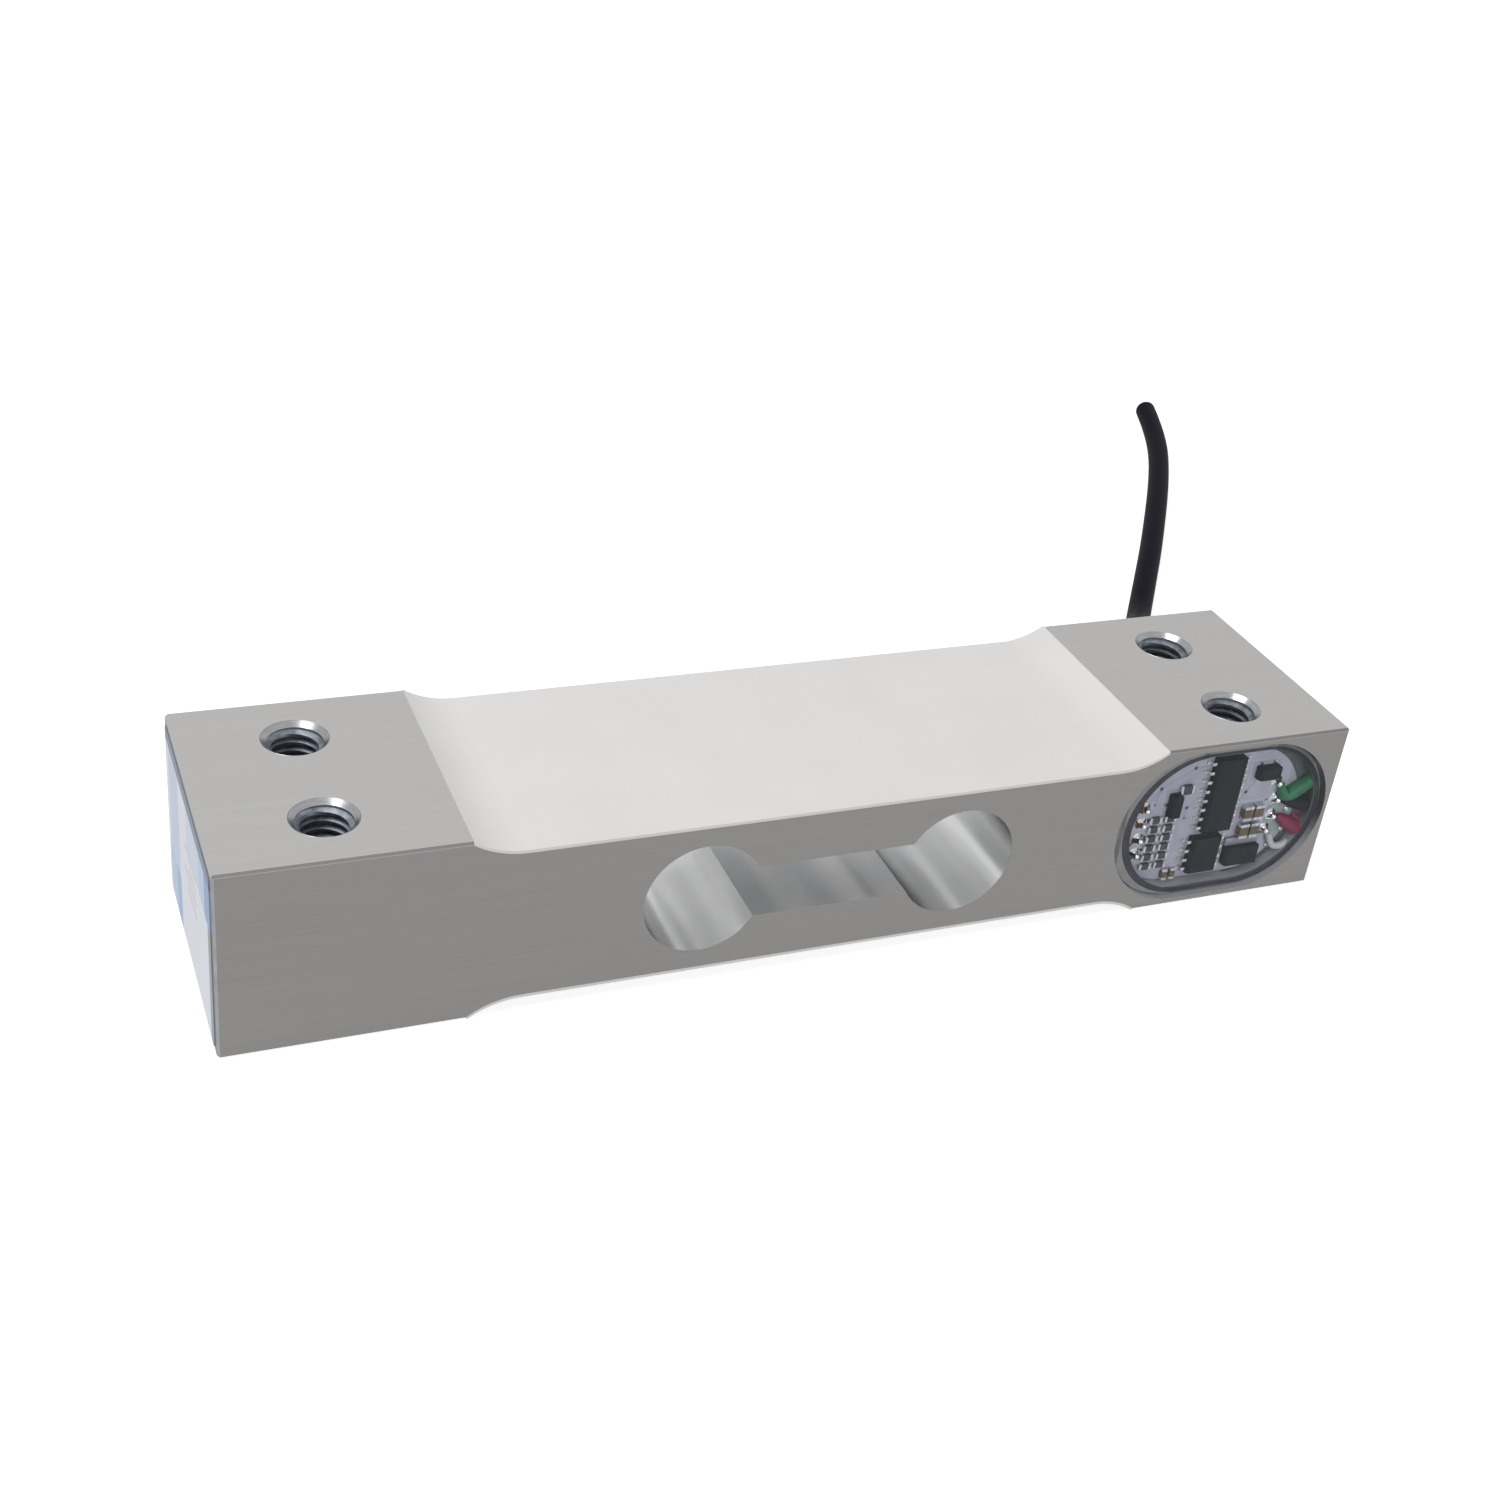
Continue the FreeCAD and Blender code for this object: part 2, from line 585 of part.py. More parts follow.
def run_gauge_wires():
    """Enamelled wires from the gauges over the terminal strip and through a passage."""
    middle = number(MIDDLE_Z)
    wire = number("gauge_wire_diameter")
    pitch = number("gauge_wire_pitch")
    level = number(f"{GAUGE_FLOOR} + gauge_wire_clearance") + wire / 2
    slope = math.radians(number("passage_angle"))
    end_x, axis_y = number(POCKET_END_X), number(WIRE_Y)
    mouth_x = end_x - level / math.tan(slope)
    inside = number(f"({POCKET_HEIGHT}) / 2 - wire_reach")
    gauge_end = number("bore_spacing / 2 + gauge_length / 2")
    strip_start = gauge_end + number("strip_gap")
    strip_end = strip_start + number("strip_length") + wire / 2
    lane = -number("gauge_width / 2 + lane_gap")
    run = (mouth_x - strip_end) / 3
    joints = gauge_joints()
    wires = {}
    for side, sign, pair in (("top", 1, joints[:2]), ("bottom", -1, joints[:1:-1])):
        z = middle + sign * level
        near = Vector(end_x - inside * math.cos(slope), 0, middle + sign * inside * math.sin(slope))
        first = wire / 2 - gauge_end + number("gauge_length")
        routes = [
            [
                (first, -number("gauge_tab_offset"), z),
                (first + number("lane_swing"), lane, z),
                (strip_start, lane, z),
            ],
            [(gauge_end, 0, z), (strip_start, 0, z)],
        ]
        for k, joint in enumerate(pair):
            y = axis_y + (k - 0.5) * pitch
            side_y = lane + 2 * k * pitch
            stagger = run + k * pitch
            way = [
                (strip_end, side_y, z),
                (strip_end + stagger, side_y - number("wire_sidestep"), z),
                (mouth_x - run + k * pitch, y, z),
                (mouth_x, y, z),
                (near.x, y, near.z),
            ]
            if k:
                way.append((joint.x - number("joint_approach"), y, (near.z + joint.z) / 2))
            end = (joint.x - number("joint_base / 2 + gauge_wire_diameter"), y, joint.z)
            routes.append(way + [end])
        solids = [tube([Vector(*point) for point in route], wire)[0] for route in routes]
        wires[side] = solid_piece(f"{side.title()}Wires", f"{side}_gauge_wires", Part.makeCompound(solids))
    return wires


def coat_recesses(plates, wires):
    """The seal coat that fills each recess up to its visible surface, over all that lies there."""
    body = new_body("CoatFill", z=MIDDLE_Z)
    outline = new_sketch(body, "CoatOutline", y="bar_height / 2", lift="-bar_width / 2")
    recess(outline)
    pad(body, outline, "bar_width", "Fill")
    surface = new_sketch(
        body, "CoatSurface", y="bar_height / 2 + coat_thickness", lift="bar_width / 2"
    )
    recess(surface)
    pocket(body, surface, "Surface")
    lower = doc.addObject("Part::Mirroring", "CoatFillBelow")
    lower.Source = body
    lower.Normal = (0, 0, 1)
    lower.setExpression("Base.z", bound(MIDDLE_Z))
    for side, fill in (("top", body), ("bottom", lower)):
        covered = doc.addObject("Part::Compound", f"{side.title()}Covered")
        names = [name for name in plates if name.startswith(side)]
        covered.Links = [plates[name] for name in names] + [wires[side]]
        coat = doc.addObject("Part::Cut", f"{side.title()}Coat")
        coat.Base = fill
        coat.Tool = covered
        keep(coat, f"{side}_seal_coat")


# Board and its bed


def fit_board():
    """The board, cut off short of the cable bore, and the adhesive bed under it."""
    for name, label, y, thickness in (
        ("Board", "circuit_board", BED_Y, "board_thickness"),
        ("Bed", "board_adhesive", f"{BED_Y} + bed_thickness", "bed_thickness"),
    ):
        body = keep(new_body(name, WINDOW_X, y, MIDDLE_Z), label)
        outline = new_sketch(body, f"{name}Outline")
        obround(outline, f"{POCKET_LENGTH} - 2 * board_clearance", f"{POCKET_HEIGHT} - 2 * board_clearance")
        pad(body, outline, thickness, f"{name}Blank")
        end = f"{CABLE_X} - cable_bore_diameter / 2 - board_bore_gap - ({WINDOW_X})"
        cut = new_sketch(body, f"{name}End", x=f"{end} + bar_height / 2", lift=thickness)
        rectangle(cut, "bar_height", "bar_height")
        pocket(body, cut, f"{name}CutEnd")


def seat_window():
    """The dark seal on the ledge's inner edge and the clear window over it."""
    ring = keep(new_body("WindowSeal", WINDOW_X, LEDGE_Y, MIDDLE_Z), "window_seal")
    outline = new_sketch(ring, "SealOutline")
    obround(outline, f"{POCKET_LENGTH} + 2 * ring_width", f"{POCKET_HEIGHT} + 2 * ring_width")
    obround(outline, POCKET_LENGTH, POCKET_HEIGHT, "_inner")
    pad(ring, outline, "ring_thickness", "Seal")
    window = keep(new_body("Window", WINDOW_X, f"{LEDGE_Y} - ring_thickness", MIDDLE_Z), "window")
    outline = new_sketch(window, "WindowOutline")
    obround(outline, "seat_length - 2 * window_clearance", "seat_height - 2 * window_clearance")
    pad(window, outline, "window_thickness", "Pane")


# Packages on the board


def on_board(name, x, z):
    """A body that stands on the board at a place from the window's centre."""
    return new_body(name, f"{WINDOW_X} + {x}", BOARD_Y, f"{MIDDLE_Z} + {z}")


def package(name, label, x, z, width, length):
    """A moulded package with a bevel along its first pin's side."""
    body = keep(on_board(name, x, z), label)
    outline = new_sketch(body, f"{name}Outline")
    rectangle(outline, width, length)
    block = pad(body, outline, "chip_height", f"{name}Block")
    side, front = -number(width) / 2, -number("chip_height")
    bevel = body.newObject("PartDesign::Chamfer", f"{name}Bevel")
    bevel.Base = (block, edges_where(block, lambda edge: edge_is_at(edge, side, front)))
    bevel.setExpression("Size", bound("chip_bevel"))


def edge_is_at(edge, x, y):
    """Whether an upright edge stands at x and y."""
    ends = [vertex.Point for vertex in edge.Vertexes]
    return all(abs(end.x - x) < 1e-6 and abs(end.y - y) < 1e-6 for end in ends)


def gull_wing_leads(name, label, x, z, rows):
    """Two rows of bent leads: foot on the board, riser, and shoulder into the package."""
    first_row = f"{z} - {rows - 1} * lead_pitch / 2"
    body = keep(on_board(name, x, first_row), label)
    body.Placement.Rotation = Rotation(Vector(0, 0, 1), 180)
    toe, heel = "lead_span / 2", "lead_span / 2 - lead_foot"
    riser, inner = f"{heel} + lead_thickness", "chip_width / 2"
    under, over = "lead_shoulder", "lead_shoulder + lead_thickness"
    profile = new_sketch(body, f"{name}Profile", "XY_Plane", lift="-lead_width / 2")
    corners = [
        (heel, "0"),
        (toe, "0"),
        (toe, "lead_thickness"),
        (riser, "lead_thickness"),
        (riser, over),
        (inner, over),
        (inner, under),
        (heel, under),
    ]
    polygon(profile, corners)
    lead = pad(body, profile, "lead_width", f"{name}Lead")
    steps = [(pattern, f"{name}Row", "Z", rows, "lead_pitch"), (mirror, f"{name}Sides", "YZ")]
    repeat(body, lead, f"{name}Rows", steps)


def blocks(name, x, z, width, length, height, steps=()):
    """A flat block on the board, copied by patterns where steps are given."""
    body = on_board(name, x, z)
    outline = new_sketch(body, f"{name}Outline")
    rectangle(outline, width, length)
    block = pad(body, outline, height, f"{name}Block")
    if steps:
        repeat(body, block, f"{name}Copies", steps)
    return body


def group(name, label, members):
    """Several bodies kept as one piece."""
    compound = doc.addObject("Part::Compound", name)
    compound.Links = members
    return keep(compound, label)


def place_chips():
    """The converter and the controller, with their leads."""
    package("Converter", "converter_chip", "converter_x", "converter_z", "chip_width", "converter_length")
    gull_wing_leads("ConverterLeads", "converter_leads", "converter_x", "converter_z", 8)
    package(
        "Controller", "controller_chip", "controller_x", "controller_z", "chip_width", "controller_length"
    )
    gull_wing_leads("ControllerLeads", "controller_leads", "controller_x", "controller_z", 4)


def place_small_packages():
    """The regulator with its tab, the five-lead reference and the three-lead transistor."""
    flat = "lead_thickness"
    package(
        "Regulator", "voltage_regulator", "regulator_x", "regulator_z", "regulator_width", "regulator_length"
    )
    below = "regulator_z - regulator_length / 2 - short_lead / 2"
    above = "regulator_z + regulator_length / 2 + tab_length / 2"
    row = (pattern, "RegulatorRow", "X", 3, "regulator_pitch")
    left = "regulator_x - regulator_pitch"
    feet = blocks("RegulatorFeet", left, below, "lead_width", "short_lead", flat, [row])
    tab = blocks("RegulatorTab", "regulator_x", above, "tab_width", "tab_length", flat)
    group("RegulatorMetal", "regulator_leads", [feet, tab])

    package(
        "Reference", "voltage_reference", "reference_x", "reference_z", "reference_width", "reference_length"
    )
    below = "reference_z - reference_length / 2 - short_lead / 2"
    above = "reference_z + reference_length / 2 + short_lead / 2"
    left = "reference_x - reference_pitch"
    low = (pattern, "ReferenceLow", "X", 3, "reference_pitch")
    high = (pattern, "ReferenceHigh", "X", 2, "2 * reference_pitch")
    three = blocks("ReferenceThree", left, below, "lead_width", "short_lead", flat, [low])
    two = blocks("ReferenceTwo", left, above, "lead_width", "short_lead", flat, [high])
    group("ReferenceMetal", "reference_leads", [three, two])

    x = f"{LEFT_END} + transistor_x"
    package("Transistor", "transistor", x, "transistor_z", "transistor_width", "transistor_length")
    left = f"{x} - transistor_width / 2 - short_lead / 2"
    right = f"{x} + transistor_width / 2 + short_lead / 2"
    pair = (pattern, "TransistorPair", "Z", 2, "transistor_pitch")
    single = blocks("TransistorOne", left, "transistor_z", "short_lead", "lead_width", flat)
    lower = "transistor_z - transistor_pitch / 2"
    double = blocks("TransistorTwo", right, lower, "short_lead", "lead_width", flat, [pair])
    group("TransistorMetal", "transistor_leads", [single, double])


def place_chip_parts():
    """Two columns of resistors and a square of capacitors, with their end caps."""
    x = f"{LEFT_END} + resistor_x"
    rows = (pattern, "ResistorRows", "Z", 6, "resistor_row_pitch")
    columns = (pattern, "ResistorColumns", "X", 2, "resistor_column_pitch")
    core = "resistor_length - 2 * resistor_cap"
    resistors = blocks(
        "Resistors", x, "resistor_z", core, "resistor_width", "resistor_height", [rows, columns]
    )
    keep(resistors, "chip_resistors")
    ends = (pattern, "ResistorEnds", "X", 2, "resistor_length - resistor_cap")
    rows = (pattern, "ResistorCapRows", "Z", 6, "resistor_row_pitch")
    columns = (pattern, "ResistorCapColumns", "X", 2, "resistor_column_pitch")
    first = f"{x} - resistor_length / 2 + resistor_cap / 2"
    caps = blocks(
        "ResistorCaps",
        first,
        "resistor_z",
        "resistor_cap",
        "resistor_width",
        "resistor_height",
        [ends, rows, columns],
    )
    keep(caps, "resistor_end_caps")

    x = f"({CABLE_X} - ({WINDOW_X})) / 2 + capacitor_x"
    rows = (pattern, "CapacitorRows", "Z", 2, "capacitor_row_pitch")
    columns = (pattern, "CapacitorColumns", "X", 2, "capacitor_column_pitch")
    core = "capacitor_length - 2 * capacitor_cap"
    capacitors = blocks(
        "Capacitors",
        x,
        "capacitor_z",
        "capacitor_width",
        core,
        "capacitor_height",
        [rows, columns],
    )
    keep(capacitors, "chip_capacitors")
    ends = (pattern, "CapacitorEnds", "Z", 2, "capacitor_length - capacitor_cap")
    rows = (pattern, "CapacitorCapRows", "Z", 2, "capacitor_row_pitch")
    columns = (pattern, "CapacitorCapColumns", "X", 2, "capacitor_column_pitch")
    first = "capacitor_z - capacitor_length / 2 + capacitor_cap / 2"
    caps = blocks(
        "CapacitorCaps",
        x,
        first,
        "capacitor_width",
        "capacitor_cap",
        "capacitor_height",
        [ends, rows, columns],
    )
    keep(caps, "capacitor_end_caps")


# Cable wires, joints, grommet and cable

# Each wire: its corner of the square bundle in the bore, then places on the board from the
# bore's axis, the last of them its solder joint.
WIRES = {
    "black_wire": ((-1, 1), [(-2.7, 0.7)]),
    "red_wire": ((-1, -1), [(-2.7, -1.6)]),
    "green_wire": ((1, 1), [(0.5, 2.6), (-0.7, 3.5), (-3.1, 3.1)]),
    "white_wire": ((1, -1), [(0.5, -2.7), (-0.6, -4.3), (-2, -4.7), (-3.2, -3.6)]),
}


def run_cable_wires():
    """The four insulated wires from the jacket's end through the bore to their joints."""
    x, z = number(CABLE_X), number(MIDDLE_Z)
    half = number("wire_pitch / 2")
    back = number("bar_width / 2")
    level = number(WIRE_Y)
    joints = []
    for label, ((across, up), places) in WIRES.items():
        start_x, start_z = x + across * half, z + up * half
        points = [Vector(start_x, back, start_z), Vector(start_x, level, start_z)]
        points += [Vector(x + dx, level, z + dz) for dx, dz in places]
        joints.append(points[-1])
        points[-1] += (points[-2] - points[-1]).normalize() * number("joint_base / 2")
        solid = tube(points, number("wire_diameter"))[0]
        solid_piece(label.title().replace("_", ""), label, solid)
    return joints


def solder(places):
    """A cone of solder on the board at each wire's joint; the wires end at its foot."""
    board = number(BOARD_Y)
    base, top, height = number("joint_base / 2"), number("joint_top / 2"), number("joint_height")
    cones = [
        Part.makeCone(base, top, height, Vector(point.x, board, point.z), Vector(0, -1, 0))
        for point in places
    ]
    solid_piece("Joints", "solder_joints", Part.makeCompound(cones))


def turn_grommet():
    """The grommet: a plug in the counterbore, a flange on the back face and a nose on the jacket."""
    body = keep(new_body("Grommet", CABLE_X, "bar_width / 2", MIDDLE_Z), "cable_grommet")
    profile = new_sketch(body, "GrommetProfile", "XY_Plane")
    bore, plug, jacket = "cable_bore_diameter / 2", "grommet_hole_diameter / 2", "cable_diameter / 2"
    inner, tip = "-grommet_hole_depth", "flange_thickness + nose_length"
    corners = [
        (bore, inner),
        (plug, inner),
        (plug, "0"),
        ("flange_diameter / 2", "0"),
        ("flange_diameter / 2", "flange_thickness"),
        ("nose_base_diameter / 2", "flange_thickness"),
        ("nose_tip_diameter / 2", tip),
        (jacket, tip),
        (jacket, "0"),
        (bore, "0"),
    ]
    polygon(profile, corners)
    turned = body.newObject("PartDesign::Revolution", "Turned")
    turned.Profile = profile
    turned.ReferenceAxis = (profile, ["V_Axis"])
    turned.Angle = 360


# The cable's route: out of the grommet, down behind the bar and along the floor.
CABLE_ROUTE = [
    (61.4, 23.8, 11.0),
    (67.2, 33.1, 9.6),
    (72.7, 39.9, 4.8),
    (77.8, 46.9, 1.77),
    (85.0, 56.9, 1.77),
    (95.2, 71.1, 1.77),
    (111.5, 95.2, 1.77),
    (120.1, 110.5, 1.77),
    (124.4, 121.3, 1.77),
]


def lay_cable():
    """The cable as a plain tube from the bar's back face, through the nose, to its cut end."""
    start = Vector(number(CABLE_X), number("bar_width / 2"), number(MIDDLE_Z))
    points = [start] + [Vector(*point) for point in CABLE_ROUTE]
    solid, length, radii = tube(points, number("cable_diameter"))
    solid_piece("Cable", "cable", solid)
    fill = solid.Volume / (math.pi * number("cable_diameter / 2") ** 2 * length)
    print(f"cable length {length:.1f}, volume over section times length {fill:.4f}")
    print("cable radii", " ".join(f"{radius:.1f}" for radius in radii))


def stick_label():
    """The film label on the load end's face."""
    body = keep(new_body("Label", "-bar_length / 2 - label_thickness", "0", MIDDLE_Z), "end_label")
    outline = new_sketch(body, "LabelOutline", "YZ_Plane")
    rectangle(outline, "label_width", "label_height")
    film = pad(body, outline, "label_thickness", "Film")
    corners = body.newObject("PartDesign::Fillet", "Corners")
    thin = number("label_thickness")
    corners.Base = (film, edges_where(film, lambda edge: abs(edge.Length - thin) < 1e-6))
    corners.setExpression("Radius", bound("label_corner"))


def check_and_write():
    """Checks every object and every piece, then writes one STEP file for each piece."""
    doc.recompute()
    for thing in doc.Objects:
        if {"Invalid", "Error"} & set(thing.State):
            raise RuntimeError(f"{thing.Name} did not compute: {thing.State}")
    for piece in pieces:
        if piece.Shape.isNull() or not piece.Shape.isValid() or not piece.Shape.Solids:
            raise RuntimeError(f"{piece.Label} has no valid solid")
    for piece in pieces:
        piece.Shape.exportStep(f"parts/{piece.Label}.step")


machine_sensor_body()
gauge_plates = bond_gauges()
gauge_wires = run_gauge_wires()
coat_recesses(gauge_plates, gauge_wires)
fit_board()
seat_window()
place_chips()
place_small_packages()
place_chip_parts()
solder(run_cable_wires() + gauge_joints())
turn_grommet()
lay_cable()
stick_label()
check_and_write()
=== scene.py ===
"""The looks of a single point load cell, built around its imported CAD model.

The bar lies along X, its window faces -Y and Z is up. Sizes named _mm turn to metres with MM.
"""

import logging
from dataclasses import dataclass, field
from enum import Enum

import bpy
import numpy as np
from mathutils import Matrix, Vector

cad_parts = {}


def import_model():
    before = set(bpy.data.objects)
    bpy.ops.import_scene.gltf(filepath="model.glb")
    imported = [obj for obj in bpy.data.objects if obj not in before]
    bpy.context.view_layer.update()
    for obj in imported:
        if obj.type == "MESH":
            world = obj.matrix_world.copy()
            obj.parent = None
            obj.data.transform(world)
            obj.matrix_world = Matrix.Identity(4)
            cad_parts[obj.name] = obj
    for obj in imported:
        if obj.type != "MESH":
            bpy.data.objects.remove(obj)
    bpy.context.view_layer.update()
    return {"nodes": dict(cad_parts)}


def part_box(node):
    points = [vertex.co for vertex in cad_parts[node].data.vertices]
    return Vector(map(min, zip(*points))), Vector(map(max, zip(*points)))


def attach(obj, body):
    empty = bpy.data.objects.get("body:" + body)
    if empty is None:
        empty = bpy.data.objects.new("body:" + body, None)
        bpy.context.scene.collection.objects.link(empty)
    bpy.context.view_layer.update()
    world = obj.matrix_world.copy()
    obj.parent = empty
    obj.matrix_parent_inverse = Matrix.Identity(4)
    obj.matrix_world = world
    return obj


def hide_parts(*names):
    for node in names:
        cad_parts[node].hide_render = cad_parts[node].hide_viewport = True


LOG = logging.getLogger("load_cell")
MM = 0.001
BODY = "root"
PHOTO_PIXELS = 1500
BOARD_FACE_MM = -12.7
BAR_HALF_MM = (65, 15, 11)
HOLE_MM = (53, 7.5)
# Most of a noise's values lie in this range.
NOISE_SPAN = (0.3, 0.7)
# The height that a finish's grain stands for.
GRAIN_DEPTH_MM = 0.03
# Points on each corner of a flat ring.
RING_STEPS = 28

Link = tuple[bpy.types.Node, str | int]
Pair = tuple[float, float]
Point = tuple[float, float, float]
Knot = tuple[float, float, float, float]
Colour = tuple[float, float, float, float]
Box = tuple[Point, Point]
Outline = tuple[Pair, Pair]
Pairs = list[Pair] | tuple[Pair, ...] | np.ndarray
Object = bpy.types.Object
Nodes = dict[str, Object]


class Slot(Enum):
    """Names of material slots, by which the wires' and cores' names and finishes are found."""

    BAR = "bar"
    SEAL = "seal_coat"
    RING = "seal_ring"
    WIRE = "enamelled_wire"
    BOARD = "board"
    LEAD = "lead"
    CAPACITOR = "capacitor"
    RESISTOR = "resistor"
    SOLDER = "solder"
    JACKET = "jacket"
    GREEN = "wire_green"
    BLACK = "wire_black"
    RED = "wire_red"
    WHITE = "wire_white"


# Colours and node trees


def srgb(code: str) -> Colour:
    """Turns an sRGB hex colour to linear light.

    Args:
        code: Six hex digits after a hash.

    Returns:
        Red, green, blue and an alpha of 1.
    """
    shares = np.array([int(code[i : i + 2], 16) for i in (1, 3, 5)]) / 255
    linear = np.where(shares <= 0.04045, shares / 12.92, ((shares + 0.055) / 1.055) ** 2.4)
    return (*linear.tolist(), 1.0)


class Tree:
    """A material's or the world's node tree, emptied, with one way to add a node."""

    def __init__(self, owner: bpy.types.Material | bpy.types.World) -> None:
        """Empties the owner's node tree and keeps it."""
        owner.use_nodes = True
        self.nodes = owner.node_tree.nodes
        self.links = owner.node_tree.links
        self.nodes.clear()

    def add(self, kind: str, inputs: dict | None = None, **settings: object) -> bpy.types.Node:
        """Adds a node with its settings, and sets or links its inputs.

        Args:
            kind: The node's type name.
            inputs: Socket name or index to a value, or to a node and its output.
            settings: Attributes of the node.

        Returns:
            The new node.
        """
        node = self.nodes.new(kind)
        for name, value in settings.items():
            setattr(node, name, value)
        for socket, value in (inputs or {}).items():
            if isinstance(value, tuple) and isinstance(value[0], bpy.types.Node):
                self.links.new(value[0].outputs[value[1]], node.inputs[socket])
            else:
                node.inputs[socket].default_value = value
        return node

    def math(self, operation: str, first: float | Link, second: float | Link = 0.0) -> Link:
        """The output of a sum of two numbers, such as MULTIPLY or GREATER_THAN."""
        return self.add("ShaderNodeMath", {0: first, 1: second}, operation=operation), 0

    def spread(self, value: Link, low: float, high: float, to: Pair = (0, 1)) -> Link:
        """A value taken from one range to another, held at the ends."""
        inputs = {0: value, 1: low, 2: high, 3: to[0], 4: to[1]}
        return self.add("ShaderNodeMapRange", inputs), 0

    def blend(self, share: float | Link, first: Colour | Link, second: Colour | Link) -> Link:
        """A colour between two, each one a colour or a node's output."""
        inputs = {0: share, 6: first, 7: second}
        return self.add("ShaderNodeMix", inputs, data_type="RGBA"), 2

    def shade(self, share: float | Link, codes: tuple[str, str]) -> Link:
        """A colour between two sRGB hex colours."""
        return self.blend(share, srgb(codes[0]), srgb(codes[1]))

    def place(self) -> Link:
        """The surface's place in the object's own frame, in metres."""
        return self.add("ShaderNodeTexCoord"), "Object"

    def off(self, axis: int, middle_mm: float) -> Link:
        """How far the surface's place lies from a plane across an axis, on either side."""
        axes = self.add("ShaderNodeSeparateXYZ", {0: self.place()})
        return self.math("ABSOLUTE", self.math("SUBTRACT", (axes, axis), middle_mm * MM))

    def box(self, low_mm: Point, high_mm: Point) -> Link:
        """A mask of a box along the axes.

        Args:
            low_mm: Its low corner.
            high_mm: Its high corner.

        Returns:
            1 inside the box and 0 outside.
        """
        mask = 1.0
        for axis, (low, high) in enumerate(zip(low_mm, high_mm)):
            off = self.off(axis, (low + high) / 2)
            mask = self.math("MULTIPLY", mask, self.math("LESS_THAN", off, (high - low) / 2 * MM))
        return mask

    def noise(self, size_mm: float | Point, detail: float) -> Link:
        """Noise whose grains have a real size along X, Y and Z.

        Args:
            size_mm: The grains' size, or their size along each axis, in millimetres.
            detail: How many finer layers it has.

        Returns:
            The noise's value, about 0.5 on the mean.
        """
        scale = tuple(1 / (size * MM) for size in np.broadcast_to(size_mm, 3).tolist())
        scaled = self.add("ShaderNodeMapping", {"Vector": self.place(), "Scale": scale})
        inputs = {"Vector": (scaled, 0), "Scale": 1.0, "Detail": detail}
        return self.add("ShaderNodeTexNoise", inputs), 0

    def bump(self, height: Link, strength: float, depth_mm: float) -> Link:
        """A normal tilted by a height.

        Args:
            height: The height's pattern.
            strength: How much of it counts, from 0 to 1.
            depth_mm: What a height of 1 stands for, in millimetres.

        Returns:
            The normal's output.
        """
        inputs = {"Height": height, "Strength": strength, "Distance": depth_mm * MM}
        return self.add("ShaderNodeBump", inputs), 0

    def surface(self, inputs: dict) -> None:
        """Joins a Principled shader to the output."""
        shader = self.add("ShaderNodeBsdfPrincipled", inputs)
        self.add("ShaderNodeOutputMaterial", {"Surface": (shader, 0)})


# Finishes


@dataclass(frozen=True)
class Finish:
    """A finish: its name and how it builds its node tree."""

    name: str

    def paint(self, tree: Tree) -> None:
        """Builds the finish's nodes in an empty tree."""
        raise NotImplementedError

    def material(self) -> bpy.types.Material:
        """The finish as a material, made once."""
        found = bpy.data.materials.get(self.name)
        if found is None:
            found = bpy.data.materials.new(self.name)
            self.paint(Tree(found))
        return found


